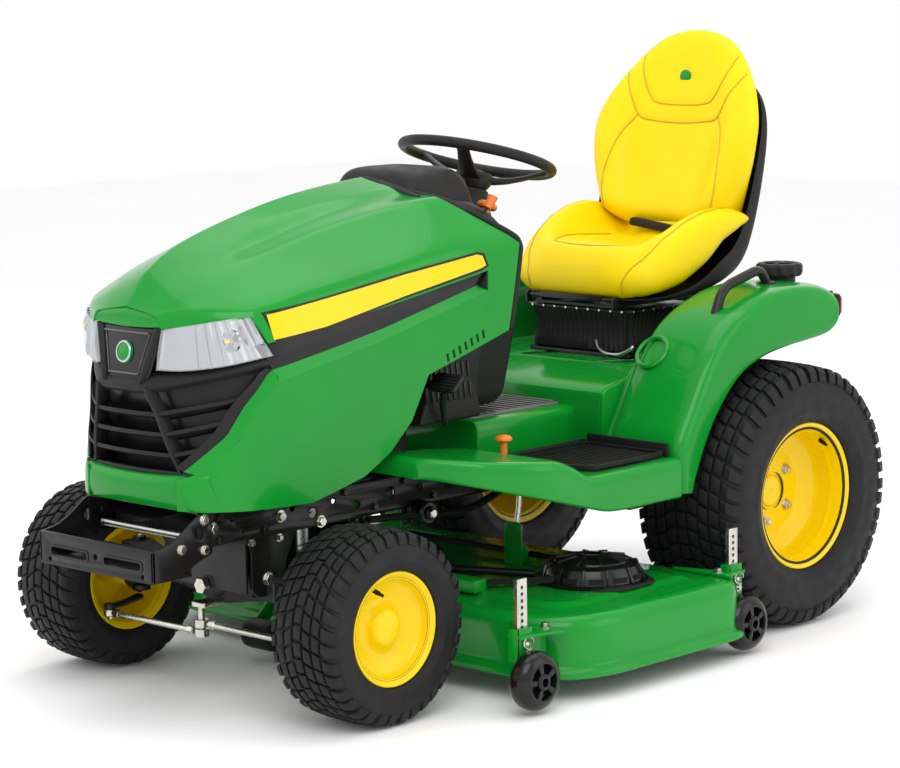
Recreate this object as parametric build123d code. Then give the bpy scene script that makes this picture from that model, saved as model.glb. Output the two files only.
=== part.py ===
from build123d import *
import math
import os

os.makedirs("parts", exist_ok=True)

# Riding lawn mower, millimetres. +X is the mower's left, -Y its front, +Z up, the ground is Z 0.
# It is modelled about its centreline and mid-wheelbase; save() moves every part by OFFSET, so that
# the origin ends below the middle of the whole machine with its discharge chute down.

# Driving dimensions
WHEELBASE = 1270.0
FRONT_AXLE_Y = -WHEELBASE / 2
REAR_AXLE_Y = WHEELBASE / 2
FRONT_TYRE_RADIUS = 202.0
FRONT_TYRE_WIDTH = 178.0
FRONT_RIM_RADIUS = 118.0
FRONT_WHEEL_X = 407.5
REAR_TYRE_RADIUS = 304.0
REAR_TYRE_WIDTH = 288.0
REAR_RIM_RADIUS = 169.0
REAR_WHEEL_X = 438.0
KINGPIN_X = 300.0
STEERING_ARM = 90.0
AXLE_PIVOT_Z = 250.0
RUNNING = 0.05
SHEET = 4.0
RAIL_X = 175.0
RAIL_LOW = 362.0
RAIL_HIGH = 440.0
RAIL_FRONT = -880.0
RAIL_REAR = 780.0
BUMPER_Y = -1006.0
BUMPER_HALF = 178.0
DECK_HALF = 652.0
DECK_FRONT = -310.0
DECK_REAR = 300.0
DECK_LOW = 48.0
DECK_TOP = 178.0
DECK_CORNER = 180.0
BLADE_RADIUS = 216.0
SPINDLES = {"left": (430.0, 35.0), "centre": (0.0, -80.0), "right": (-430.0, 35.0)}
PTO_Y = -490.0
BELT_Z = 204.0
GAUGE_RADIUS = 62.0
GAUGE_WIDTH = 56.0
GAUGE_X = 632.0
GAUGE_FRONT_Y = -380.0
GAUGE_REAR_Y = 318.0
GAUGE_Z = 72.0
CHUTE_REACH = 950.0
COLUMN_TILT = 16.7
WHEEL_CENTRE = (0.0, 144.0, 1089.0)
WHEEL_RING = 171.0
SEAT_HALF = 244.0
BACK_HALF = 250.0
BUMPER_HOLE = 6.5
HITCH_HOLE = 9.5
AXLE_STUB = 16.0
PTO_SHAFT = 14.0
CAP_AT = (388.0, 760.0)
FENDER_IN = 274.0
FENDER_OUT = 502.0
BUTTON_AT = (300.0, -105.0)
DASH_WALL = 5.0
COLUMN_RADIUS = 20.0
KNOB_AT = (96.0, 66.0)
SPINDLE = 9.5
SPINDLE_SHAFT = 12.5
ROLLER_AT = (-138.0, -420.0, 60.0)
BELLOWS_PITCH = 16
SLIDE_Z = 722
TILT_AT = (464.0, 741.0)
EAR_RADIUS = 9.2
FILLER_HOLE = 37.0
OFFSET = Pos((CHUTE_REACH - GAUGE_X - GAUGE_WIDTH / 2) / 2, 24, 0)


def save(shape, node):
    """Write one sub-part in the machine's final frame."""
    placed = OFFSET * shape
    export_step(placed, f"parts/{node}.step")


def block(x0, x1, y0, y1, z0, z1):
    """Axis-aligned block between two corners."""
    centre = Pos((x0 + x1) / 2, (y0 + y1) / 2, (z0 + z1) / 2)
    return centre * Box(x1 - x0, y1 - y0, z1 - z0)


def rod(axis, across, radius, low, high):
    """Round bar along X, Y or Z; across gives its two other coordinates in X, Y, Z order."""
    bar = Cylinder(radius, high - low)
    middle = (low + high) / 2
    if axis == "X":
        return Pos(middle, across[0], across[1]) * Rot(0, 90, 0) * bar
    if axis == "Y":
        return Pos(across[0], middle, across[1]) * Rot(90, 0, 0) * bar
    return Pos(across[0], across[1], middle) * bar


def side_prism(outline, x0, x1):
    """Prism across X of an outline in (y, z)."""
    face = make_face(Polyline(*[(x0, y, z) for y, z in outline], close=True))
    return extrude(face, amount=x1 - x0, dir=(1, 0, 0))


def plan_prism(outline, z0, z1):
    """Prism up Z of an outline in (x, y)."""
    face = make_face(Polyline(*[(x, y, z0) for x, y in outline], close=True))
    return extrude(face, amount=z1 - z0, dir=(0, 0, 1))


def sheet_prism(path, thickness, x0, x1):
    """Bent sheet across X, its upper face along a path in (y, z)."""
    lower = []
    for i, (y, z) in enumerate(path):
        before = path[max(i - 1, 0)]
        after = path[min(i + 1, len(path) - 1)]
        dy, dz = after[0] - before[0], after[1] - before[1]
        length = math.hypot(dy, dz)
        lower.append((y + thickness * dz / length, z - thickness * dy / length))
    return side_prism(path + lower[::-1], x0, x1)


def inset(outline, distance):
    """The outline moved inwards by distance, corner by corner; the points run clockwise or not."""
    area = sum(a[0] * b[1] - b[0] * a[1] for a, b in zip(outline, outline[1:] + outline[:1]))
    sign = 1 if area > 0 else -1
    moved = []
    for i, (px, py) in enumerate(outline):
        (ax, ay), (bx, by) = outline[i - 1], outline[(i + 1) % len(outline)]
        ux, uy = px - ax, py - ay
        vx, vy = bx - px, by - py
        lu, lv = math.hypot(ux, uy), math.hypot(vx, vy)
        nx, ny = -uy / lu * sign, ux / lu * sign
        mx, my = -vy / lv * sign, vx / lv * sign
        scale = distance / (1 + nx * mx + ny * my)
        moved.append((px + (nx + mx) * scale, py + (ny + my) * scale))
    return moved


def turned(profile, x, y, z, flip=False):
    """Solid of revolution about X through (x, y, z); the profile is in (x, radius)."""
    face = make_face(Polyline(*[(a, r) for a, r in profile], close=True))
    shape = revolve(face, axis=Axis.X)
    if flip:
        shape = mirror(shape, about=Plane.YZ)
    return Pos(x, y, z) * shape


def mirrored(shape):
    """The same piece on the machine's other side."""
    return mirror(shape, about=Plane.YZ)


def group(*solids):
    """Separate identical or mirrored pieces kept in one node."""
    return Compound(children=[s for one in solids for s in one.solids()])


# Frame -----------------------------------------------------------------------------------------


def frame_rail():
    """C-section side rail, open towards the middle, with drilled holes in the web."""
    rail = block(RAIL_X - 40, RAIL_X, RAIL_FRONT, RAIL_REAR, RAIL_LOW, RAIL_HIGH)
    hollow = block(RAIL_X - 41, RAIL_X - 6, RAIL_FRONT - 1, RAIL_REAR + 1, RAIL_LOW + 6, RAIL_HIGH - 6)
    rail = rail - hollow
    for y in (-800, -740, -420, -180, 120, 420):
        rail = rail - rod("X", (y, 401), 9, RAIL_X - 10, RAIL_X + 1)
    return rail


def front_bumper():
    """Channel-shaped bumper plate with two pressed slots, its side arms and the cross plate behind."""
    plate = block(-BUMPER_HALF, BUMPER_HALF, BUMPER_Y, BUMPER_Y + 6, 312, 380)
    for x in (-95, 95):
        plate = plate - block(x - 50, x + 50, BUMPER_Y - 1, BUMPER_Y + 7, 356, 368)
    for x in (-130, 0, 130):
        plate = plate - rod("Y", (x, 334), BUMPER_HOLE, BUMPER_Y - 1, BUMPER_Y + 7)
    arm = plan_prism(
        [(BUMPER_HALF - 6, BUMPER_Y + 6), (BUMPER_HALF, BUMPER_Y + 6), (RAIL_X, -883), (RAIL_X - 6, -883)],
        318,
        374,
    )
    foot = block(RAIL_X - 6, RAIL_X, -883, -845, 318, RAIL_LOW)
    cross = block(-RAIL_X, RAIL_X, -886, -882, 318, 438)
    return plate + arm + mirrored(arm) + foot + mirrored(foot) + cross


def axle_hanger():
    """Two plates between the rails that carry the front axle's pivot pin."""
    hanger = rod("Y", (0, AXLE_PIVOT_Z), 12, -712, -562)
    for y in (-710, -580):
        outline = [(-134, 430), (134, 430), (134, 372), (50, 226), (-50, 226), (-134, 372)]
        face = make_face(Polyline(*[(x, y, z) for x, z in outline], close=True))
        hanger = hanger + extrude(face, amount=10, dir=(0, 1, 0))
    return hanger


def hitch_plate():
    """Rear plate between the rails with a horizontal drawbar tongue and its pin hole."""
    plate = block(-RAIL_X, RAIL_X, RAIL_REAR, RAIL_REAR + 8, 300, RAIL_HIGH)
    tongue = block(-45, 45, RAIL_REAR + 8, 862, 306, 314)
    tongue = tongue - rod("Z", (0, 836), HITCH_HOLE, 300, 320)
    return plate + tongue


# Power train -----------------------------------------------------------------------------------


def transaxle():
    """Hydrostatic transaxle housing with two axle tubes bored for the rear wheel stubs."""
    z = REAR_TYRE_RADIUS
    case = block(-118, 118, 535, 745, 232, 358)
    case = case + rod("Z", (0, 600), 70, 350, 392)
    for side in (-1, 1):
        low, high = sorted((side * 100, side * 418))
        case = case + rod("X", (REAR_AXLE_Y, z), 42, low, high)
        low, high = sorted((side * 330, side * 420))
        case = case - rod("X", (REAR_AXLE_Y, z), AXLE_STUB + RUNNING, low, high)
    return case


def engine():
    """Vertical-shaft V-twin: crankcase, two finned cylinders, blower housing, and the muffler beside."""
    case = rod("Z", (0, PTO_Y), 120, 441, 560)
    for side in (-1, 1):
        cylinder = block(-52, 52, -128, 0, 462, 542)
        for y in range(-118, -20, 16):
            cylinder = cylinder + block(-62, 62, y - 2, y + 2, 454, 550)
        case = case + Pos(0, PTO_Y - 60, 0) * Rot(0, 0, side * 45) * cylinder
    case = case + rod("Z", (0, PTO_Y), 150, 560, 600) + rod("Z", (0, PTO_Y), 128, 600, 680)
    case = case + block(-90, 90, -560, -400, 680, 760)
    case = case - rod("Z", (0, PTO_Y), PTO_SHAFT + RUNNING, 430, 500)
    muffler = rod("X", (-318, 490), 46, -130, 130)
    return group(case, muffler)


def pto_pulley():
    """Electric clutch drum and drive pulley on the engine's output shaft."""
    drum = rod("Z", (0, PTO_Y), 58, 300, 360) + rod("Z", (0, PTO_Y), PTO_SHAFT, 196, 490)
    return drum + belt_pulley(0, PTO_Y, 60)


def belt_pulley(x, y, radius):
    """Vee pulley turned from two flanges and a hub, centred on the belt plane."""
    hub = rod("Z", (x, y), radius - 9, BELT_Z - 8, BELT_Z + 8)
    flanges = rod("Z", (x, y), radius, BELT_Z - 10, BELT_Z - 8) + rod("Z", (x, y), radius, BELT_Z + 8, BELT_Z + 10)
    return hub + flanges


def fuel_tank():
    """Moulded tank below the left fender, with its neck through the fender top."""
    tank = block(300, 470, 610, 860, 662, 752)
    tank = tank + rod("Z", CAP_AT, 34, 752, 800)
    return tank - rod("Z", CAP_AT, 28, 740, 801)


def fuel_cap():
    """Ribbed cap that sits over the tank's neck."""
    cap = rod("Z", CAP_AT, 56, 802, 824) + rod("Z", CAP_AT, 26, 770, 802)
    for i in range(16):
        angle = math.radians(i * 22.5)
        cap = cap - rod("Z", (CAP_AT[0] + 58 * math.cos(angle), CAP_AT[1] + 58 * math.sin(angle)), 5, 800, 826)
    return cap


# Bodywork --------------------------------------------------------------------------------------

FENDER_TOP = [(256, 348), (256, 462), (300, 540), (345, 620), (404, 691), (480, 738), (597, 776)]
FENDER_TOP = FENDER_TOP + [(700, 783), (800, 774), (880, 757), (917, 738)]
FENDER_ARCH = [(914, 690), (848, 648), (760, 654), (654, 645), (560, 634), (490, 610), (420, 558)]
FENDER_ARCH = FENDER_ARCH + [(360, 480), (318, 400), (300, 348)]


def fender_deck():
    """One-piece pressed body: two wheel arches and the seat deck between them."""
    fender = side_prism(FENDER_TOP + FENDER_ARCH, FENDER_IN, FENDER_OUT)
    inner = [(y + SHEET, z - SHEET) if y < 600 else (y - SHEET, z - SHEET) for y, z in FENDER_TOP]
    hollow = side_prism(inner + [(913, 300), (260, 300)], FENDER_IN + SHEET, FENDER_OUT - SHEET)
    fender = fender - hollow
    wall = side_prism(FENDER_TOP[1:] + [(900, 592), (380, 592), (300, 480)], FENDER_IN, FENDER_IN + SHEET)
    fender = fender + wall
    path = [(245, 444), (245, 556), (300, 577), (400, 600), (895, 600)]
    seat_deck = sheet_prism(path, SHEET, -FENDER_IN - 2, FENDER_IN + 2)
    return fender + mirrored(fender) + seat_deck - rod("Z", CAP_AT, FILLER_HOLE, 700, 800)


def footrest():
    """Left running board: sloping toe, flat tread and a skirt that is open below."""
    outline = [(-400, 506), (-150, 484), (-60, 437), (252, 437), (252, 348), (4, 349), (-400, 461)]
    board = side_prism(outline, 203, 500)
    inner = [(-396, 501), (-151, 479), (-62, 432), (248, 432), (248, 300), (-396, 300)]
    board = board - side_prism(inner, 207, 496)
    trim = [(190, -410), (340, -410), (440, -345), (510, -230), (510, 260), (190, 260)]
    board = board & plan_prism(trim, 300, 520)
    return board - rod("Z", BUTTON_AT, 9, 440, 520)


def footrest_mat():
    """Ribbed rubber tread on the flat of the running board."""
    mat = block(235, 470, -40, 200, 437, 441)
    for y in range(-25, 200, 25):
        mat = mat + block(245, 460, y - 4, y + 4, 441, 443)
    return mat


def tunnel_cover():
    """Raised cover over the drive shaft between the running boards."""
    outer = block(-200, 200, -78, 240, 441, 530)
    inner = block(-196, 196, -74, 241, 440, 526)
    return outer - inner


# Side outlines of the pedestal in (y, z), each with its half width.
DASH = [
    (235, [(-310, 545), (-88, 535), (-135, 590), (-59, 723), (10, 934), (-24, 966), (-196, 966), (-262, 700)]),
    (175, [(-262, 700), (-59, 723), (10, 934), (-44, 1016), (-196, 1016)]),
    (118, [(-250, 800), (0, 800), (12, 1020), (-4, 1062), (-166, 1085), (-196, 1062)]),
    (150, [(-180, 545), (60, 545), (118, 720), (160, 880), (150, 928), (60, 990), (-40, 1050), (-160, 1050)]),
]


def dash_tower():
    """Hollow pedestal: wide cowl behind the hood, domed top and the steering console."""
    tower = None
    hollow = None
    for half, outline in DASH:
        slab = side_prism(outline, -half, half)
        core = side_prism(inset(outline, DASH_WALL), DASH_WALL - half, half - DASH_WALL)
        tower = slab if tower is None else tower + slab
        hollow = core if hollow is None else hollow + core
    mouth = block(-144, 144, -170, 54, 530, 552)
    tower = tower - hollow - mouth - column(COLUMN_RADIUS + RUNNING, 40, 400)
    return tower - rod("Z", KNOB_AT, 6, 900, 1080)


def column(radius, start, end):
    """Bar along the steering axis, from start to end below the wheel's plane."""
    bar = Pos(0, 0, -(start + end) / 2) * Cylinder(radius, end - start)
    return Pos(*WHEEL_CENTRE) * Rot(-COLUMN_TILT, 0, 0) * bar


def steering_shaft():
    """Steering column bar from the hub down into the pedestal."""
    return column(COLUMN_RADIUS, 72, 330) + column(26, 72, 92)


def steering_wheel():
    """Dished three-spoke wheel."""
    place = Pos(*WHEEL_CENTRE) * Rot(-COLUMN_TILT, 0, 0)
    wheel = Torus(WHEEL_RING, 12)
    hub = Pos(0, 0, -52) * Cylinder(40, 38)
    wheel = wheel + hub
    for angle in (90, 210, 330):
        spoke = side_prism([(30, -64), (30, -44), (166, 5), (166, -7)], -15, 15)
        wheel = wheel + Rot(0, 0, angle) * spoke
    return place * wheel


def grab_handle():
    """Bent tube beside the seat, both ends on the fender."""
    path = FilletPolyline((425, 460, 700), (430, 500, 782), (438, 640, 816), (438, 668, 770), radius=22)
    ring = Plane(origin=path @ 0, z_dir=path % 0) * Circle(12)
    return sweep(ring, path)


# Hood ------------------------------------------------------------------------------------------

# Half sections of the hood from nose to dash: y, then (x, z) from the lower edge up to the centreline.
HOOD = [
    (-905, [(140, 442), (136, 640), (100, 834), (60, 842), (0, 848)]),
    (-852, [(205, 440), (192, 700), (180, 840), (108, 874), (0, 912)]),
    (-780, [(240, 438), (268, 740), (246, 846), (136, 901), (0, 955)]),
    (-650, [(262, 437), (290, 760), (272, 872), (141, 943), (0, 996)]),
    (-450, [(280, 437), (298, 775), (290, 900), (162, 994), (0, 1041)]),
    (-228, [(296, 437), (302, 790), (297, 930), (194, 1029), (0, 1062)]),
    (-20, [(300, 437), (304, 790), (299, 940), (200, 1032), (0, 1066)]),
]
HOOD_REAR_CUT = [(-228, 1100), (-228, 1056), (-46, 926), (-87, 741), (-332, 670), (-379, 577), (-509, 474)]
HOOD_REAR_CUT = HOOD_REAR_CUT + [(-640, 436), (-640, 400), (40, 400), (40, 1100)]


def hood_loft(inset, drop):
    """Closed loft through the hood sections, drawn in by inset and lowered to drop."""
    sections = []
    for i, (y, half) in enumerate(HOOD):
        y = y + (inset if i == 0 else 0) + (30 if inset and i == len(HOOD) - 1 else 0)
        right = [(max(x - inset, 0), z - (inset if z > 500 else drop)) for x, z in half]
        left = [(-x, z) for x, z in reversed(right[:-1])]
        sections.append(make_face(Polyline(*[(x, y, z) for x, z in right + left], close=True)))
    return loft(sections, ruled=True)


def hood_shell():
    """Green hood: thin shell, open below and at the rear, with openings for grille and lamps."""
    hood = hood_loft(0, 0) - hood_loft(SHEET, 20)
    hood = hood - side_prism(HOOD_REAR_CUT, -320, 320)
    hood = hood - side_prism(GRILLE_CUT, -330, 330)
    return hood - side_prism(LAMP_CUT, -330, 330)


GRILLE_CUT = [(-960, 470), (-880, 470), (-800, 560), (-748, 756), (-960, 700)]
LAMP_CUT = [(-960, 698), (-762, 754), (-785, 828), (-905, 838), (-960, 838)]


CREST = [(-960, 694), (-860, 694), (-860, 834), (-960, 834)]


def front_grille():
    """Black grille that wraps the nose below the lamps, with its horizontal louvres."""
    back = hood_loft(SHEET + 1, 0) - hood_loft(SHEET + 13, 20)
    back = back & side_prism([(-960, 474), (-882, 474), (-803, 562), (-752, 750), (-960, 694)], -330, 330)
    louvres = None
    for z in (490, 540, 590, 640):
        half = 118 + (z - 490) * 0.16
        outline = [(-half, -880), (-half * 0.9, -905), (-70, -922), (70, -922), (half * 0.9, -905), (half, -880)]
        bar = plan_prism(outline, z, z + 16)
        louvres = bar if louvres is None else louvres + bar
    face = plan_prism([(-134, -880), (-115, -900), (-60, -914), (60, -914), (115, -900), (134, -880)], 480, 694)
    crest = (hood_loft(0, 0) - hood_loft(SHEET + 8, 20)) & side_prism(CREST, -62, 62)
    return back + face + louvres + crest


def headlight():
    """Left headlight lens: the piece of the nose's skin that fills its opening."""
    skin = hood_loft(0, 0) - hood_loft(SHEET + 8, 20)
    keep = side_prism([(-950, 702), (-766, 756), (-788, 824), (-905, 833), (-950, 833)], 64, 320)
    return skin & keep


# Front axle ------------------------------------------------------------------------------------


def front_axle_beam():
    """Cast beam that rocks on the pivot pin, with a kingpin barrel at each end."""
    y = FRONT_AXLE_Y
    beam = block(-KINGPIN_X, KINGPIN_X, y - 20, y + 20, 230, 276)
    beam = beam + rod("Y", (0, AXLE_PIVOT_Z), 32, y - 50, y + 45)
    beam = beam - rod("Y", (0, AXLE_PIVOT_Z), 12 + RUNNING, y - 60, y + 60)
    for x in (-KINGPIN_X, KINGPIN_X):
        beam = beam + rod("Z", (x, y), 24, 224, 290)
        beam = beam - rod("Z", (x, y), 14 + RUNNING, 200, 300)
    return beam + rod("Z", (0, y), 10, 190, 222)


def knuckle(side, stud_low):
    """Kingpin, wheel spindle and steering arm of one front wheel."""
    x, y = side * KINGPIN_X, FRONT_AXLE_Y
    arm_y = y - STEERING_ARM
    piece = rod("Z", (x, y), 14, 180, 291) + rod("Z", (x, y), 20, 291, 298) + rod("Z", (x, y), 24, 180, 223)
    low, high = sorted((x, side * (FRONT_WHEEL_X + 62)))
    piece = piece + rod("X", (y, FRONT_TYRE_RADIUS), SPINDLE, low, high)
    piece = piece + block(x - 13, x + 13, arm_y, y, 182, 192) + rod("Z", (x, arm_y), 13, 182, 192)
    return piece + rod("Z", (x, arm_y), 6, stud_low, 182)


def steering_sector():
    """Arm on the axle's centre stud that pushes both tie rods through one long stud."""
    y = FRONT_AXLE_Y
    arm = block(-14, 14, y - STEERING_ARM, y, 196, 206) + rod("Z", (0, y), 22, 192, 214)
    arm = arm - rod("Z", (0, y), 10 + RUNNING, 180, 230)
    arm = arm + rod("Z", (0, y - STEERING_ARM), 14, 196, 206)
    return arm + rod("Z", (0, y - STEERING_ARM), 6, 128, 196)


def tie_rod(side, z):
    """Tie rod from a steering arm to the sector's stud, with an eye at each end."""
    y = FRONT_AXLE_Y - STEERING_ARM
    low, high = sorted((0, side * KINGPIN_X))
    bar = rod("X", (y, z), 6, low, high)
    bar = bar + rod("Z", (0, y), 15, z - 8, z + 8) + rod("Z", (side * KINGPIN_X, y), 14, z - 8, z + 8)
    bar = bar - rod("Z", (0, y), 8, z - 10, z + 10)
    return bar - rod("Z", (side * KINGPIN_X, y), 6 + RUNNING, z - 10, z + 10)


# Wheels ----------------------------------------------------------------------------------------


def tyre(radius, width, bead, bead_half, flange, x, y, flip):
    """Hollow tyre with round shoulders; its beads sit on the rim."""
    half = width / 2
    wall = radius - bead
    outer = [(-bead_half, bead), (-bead_half, flange), (-half + 4, flange + wall * 0.2), (-half, bead + wall * 0.55)]
    outer = outer + [(-half + 6, radius - wall * 0.16), (-half + 24, radius), (half - 24, radius)]
    outer = outer + [(half - 6, radius - wall * 0.16), (half, bead + wall * 0.55)]
    outer = outer + [(half - 4, flange + wall * 0.2), (bead_half, flange), (bead_half, bead)]
    skin = 13
    inner = [(bead_half - skin, bead), (half - skin - 2, bead + wall * 0.4), (half - 34, radius - skin - 3)]
    inner = inner + [(-half + 34, radius - skin - 3), (-half + skin + 2, bead + wall * 0.4), (-bead_half + skin, bead)]
    return turned(outer + inner, x, y, radius, flip)


def front_rim(side):
    """Pressed front rim with a shallow dish and a hub tube that runs on the spindle."""
    h = 76
    barrel = [(-h, 97), (-h, FRONT_RIM_RADIUS), (-h + 5, FRONT_RIM_RADIUS), (-h + 5, 101), (h - 5, 101)]
    barrel = barrel + [(h - 5, FRONT_RIM_RADIUS), (h, FRONT_RIM_RADIUS), (h, 97), (42, 97), (34, 60), (44, 40)]
    bore = SPINDLE + RUNNING
    barrel = barrel + [(60, 26), (62, 20), (62, bore), (-70, bore), (-70, 22), (30, 22), (36, 40), (28, 60), (36, 97)]
    return turned(barrel, side * FRONT_WHEEL_X, FRONT_AXLE_Y, FRONT_TYRE_RADIUS, side < 0)


def rear_rim(side):
    """Deep-dish rear rim with its hub and the axle stub that runs in the transaxle."""
    h = 124
    s = AXLE_STUB
    barrel = [(-h, 147), (-h, REAR_RIM_RADIUS), (-h + 6, REAR_RIM_RADIUS), (-h + 6, 152), (h - 6, 152)]
    barrel = barrel + [(h - 6, REAR_RIM_RADIUS), (h, REAR_RIM_RADIUS), (h, 147), (30, 147), (18, 100), (18, 34)]
    barrel = barrel + [(30, 30), (30, 0), (-98, 0), (-98, s), (-18, s), (-18, 50), (12, 52), (12, 100), (22, 147)]
    return turned(barrel, side * REAR_WHEEL_X, REAR_AXLE_Y, REAR_TYRE_RADIUS, side < 0)


# Mower deck ------------------------------------------------------------------------------------


def rounded_plan(half, front, rear, corner, z0, z1):
    """Rounded rectangle in plan, extruded."""
    middle = (front + rear) / 2
    face = Pos(0, middle, z0) * RectangleRounded(2 * half, rear - front, corner)
    return extrude(face, amount=z1 - z0, dir=(0, 0, 1))


def deck_shell():
    """Pressed mower deck with spindle housings, gauge wheel arms and roller bracket welded on."""
    deck = rounded_plan(DECK_HALF, DECK_FRONT, DECK_REAR, DECK_CORNER, DECK_LOW, DECK_TOP)
    deck = deck - rounded_plan(DECK_HALF - 3, DECK_FRONT + 3, DECK_REAR - 3, DECK_CORNER - 3, 40, DECK_TOP - 4)
    deck = deck + rounded_plan(DECK_HALF - 90, DECK_FRONT + 90, DECK_REAR - 90, 100, DECK_TOP, DECK_TOP + 8)
    deck = deck - block(-DECK_HALF - 5, -DECK_HALF + 60, -148, 148, 62, 168)
    for x, y in SPINDLES.values():
        deck = deck + rod("Z", (x, y), 46, 150, 190)
        deck = deck - rod("Z", (x, y), SPINDLE_SHAFT + RUNNING, 140, 210)
    for side in (-1, 1):
        for y, root in ((GAUGE_FRONT_Y, DECK_FRONT + 70), (GAUGE_REAR_Y, DECK_REAR - 70)):
            deck = deck + gauge_arm(side, y, root)
    x, y, z = ROLLER_AT
    for dx in (-52, 52):
        deck = deck + block(x + dx - 3, x + dx + 3, y - 14, DECK_FRONT + 1, 52, 84)
    return deck + rod("X", (y, z), 6, x - 50, x + 50)


def gauge_arm(side, y, root):
    """Slotted height post and axle of one gauge wheel, on a strap from the deck top."""
    low, high = sorted((side * 592, side * 598))
    post = block(low, high, y - 16, y + 16, 50, 280)
    front, back = sorted((y, root))
    strap_low, strap_high = sorted((side * 586, side * 592))
    strap = block(strap_low, strap_high, front - 14, back + 14, DECK_TOP, DECK_TOP + 6)
    axle_low, axle_high = sorted((side * 596, side * (GAUGE_X + 36)))
    return post + strap + rod("X", (y, GAUGE_Z), 8, axle_low, axle_high)


def gauge_wheel(side, y):
    """Solid plastic anti-scalp wheel with a rounded rim."""
    half, r = GAUGE_WIDTH / 2, GAUGE_RADIUS
    profile = [(-half, 8 + RUNNING), (-half, 40), (-half + 4, 52), (-half + 12, r), (half - 12, r), (half - 4, 52)]
    return turned(profile + [(half, 40), (half, 8 + RUNNING)], side * GAUGE_X, y, GAUGE_Z)


def deck_roller():
    """Front roller of the deck."""
    x, y, z = ROLLER_AT
    return rod("X", (y, z), 34, x - 46, x + 46) - rod("X", (y, z), 6 + RUNNING, x - 50, x + 50)


def spindle(x, y):
    """Blade spindle shaft with its pulley above the deck."""
    shaft = rod("Z", (x, y), SPINDLE_SHAFT, 84, 226) + rod("Z", (x, y), 24, 84, 149) + belt_pulley(x, y, 62)
    return shaft + rod("Z", (x, y), 8, 66, 84)


def blade(x, y, angle):
    """Straight cutting bar with raised sail edges and a central hole."""
    bar = block(-BLADE_RADIUS, BLADE_RADIUS, -30, 30, 78, 84)
    for turn in (0, 180):
        sail = side_prism([(18, 84), (30, 84), (38, 104), (32, 104)], 110, BLADE_RADIUS - 12)
        bar = bar + Rot(0, 0, turn) * sail
    bar = bar - rod("Z", (0, 0), 8 + RUNNING, 70, 90)
    return Pos(x, y, 0) * Rot(0, 0, angle) * bar


def belt_cover():
    """Left round pulley cover with a raised crown."""
    x, y = SPINDLES["left"]
    cover = rod("Z", (x, y), 112, DECK_TOP + 8, 222) + rod("Z", (x, y), 84, 222, 242)
    cover = cover - rod("Z", (x, y), 108, DECK_TOP, 219) - rod("Z", (x, y), 80, 210, 239)
    slot_low, slot_high = BELT_Z - 8, BELT_Z + 8
    cover = cover - block(x - 130, x + 40, y - 130, y - 20, slot_low, slot_high)
    return cover - block(x - 130, x - 40, y - 30, y + 84, slot_low, slot_high)


def belt_run(start, end, radius_a, radius_b):
    """Straight belt span tangent to two pulleys, on the outer side when walking start to end."""
    (ax, ay), (bx, by) = start, end
    dx, dy = bx - ax, by - ay
    gap = math.hypot(dx, dy)
    base = math.atan2(dy, dx)
    lean = math.acos((radius_a - radius_b) / gap)
    nx, ny = math.cos(base - lean), math.sin(base - lean)
    return (ax + radius_a * nx, ay + radius_a * ny), (bx + radius_b * nx, by + radius_b * ny)


def deck_belt():
    """Drive belt round the clutch pulley and the left and right spindle pulleys."""
    stops = [(SPINDLES["left"], 54), (SPINDLES["right"], 54), ((0, PTO_Y), 52)]
    faces = []
    for extra in (9, 0):
        points = []
        for i, (centre, radius) in enumerate(stops):
            before, rb = stops[i - 1]
            after, ra = stops[(i + 1) % 3]
            turn = radius + extra
            enter = belt_run(before, centre, rb + extra, turn)[1]
            leave = belt_run(centre, after, turn, ra + extra)[0]
            first = math.atan2(enter[1] - centre[1], enter[0] - centre[0])
            last = math.atan2(leave[1] - centre[1], leave[0] - centre[0])
            sweep_angle = (last - first) % (2 * math.pi)
            middle = first + sweep_angle / 2
            crown = (centre[0] + turn * math.cos(middle), centre[1] + turn * math.sin(middle))
            points.append((enter, crown, leave))
        edges = []
        for i, (enter, crown, leave) in enumerate(points):
            edges.append(ThreePointArc(enter, crown, leave))
            edges.append(Line(leave, points[(i + 1) % 3][0]))
        faces.append(make_face(edges))
    return Pos(0, 0, BELT_Z - 6) * extrude(faces[0] - faces[1], amount=12, dir=(0, 0, 1))


def discharge_chute():
    """Side chute leaf, hinged above the deck's outlet, with two cheeks."""
    inner = -DECK_HALF - 5
    roof = [(inner, 178), (inner, 172), (-CHUTE_REACH, 78), (-CHUTE_REACH, 84)]
    face = make_face(Polyline(*[(x, -158, z) for x, z in roof], close=True))
    leaf = extrude(face, amount=316, dir=(0, 1, 0))
    for y in (-158, 154):
        cheek = [(inner, 176), (inner - 4, 62), (-CHUTE_REACH + 40, 58), (-CHUTE_REACH, 80)]
        face = make_face(Polyline(*[(x, y, z) for x, z in cheek], close=True))
        leaf = leaf + extrude(face, amount=4, dir=(0, 1, 0))
    return leaf


# Seat ------------------------------------------------------------------------------------------


def seat_suspension():
    """Base plate, spring box with ribbed bellows and the fixed lower slide channels."""
    base = block(-150, 150, 450, 790, 600, 612) + block(-120, 120, 490, 760, 612, 640)
    for i in range(5):
        low = 640 + BELLOWS_PITCH * i
        base = base + block(-136, 136, 474, 772, low, low + 10)
        base = base + block(-126, 126, 484, 762, low + 10, low + BELLOWS_PITCH)
    return base + block(-130, 130, 480, 770, 720, SLIDE_Z)


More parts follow.
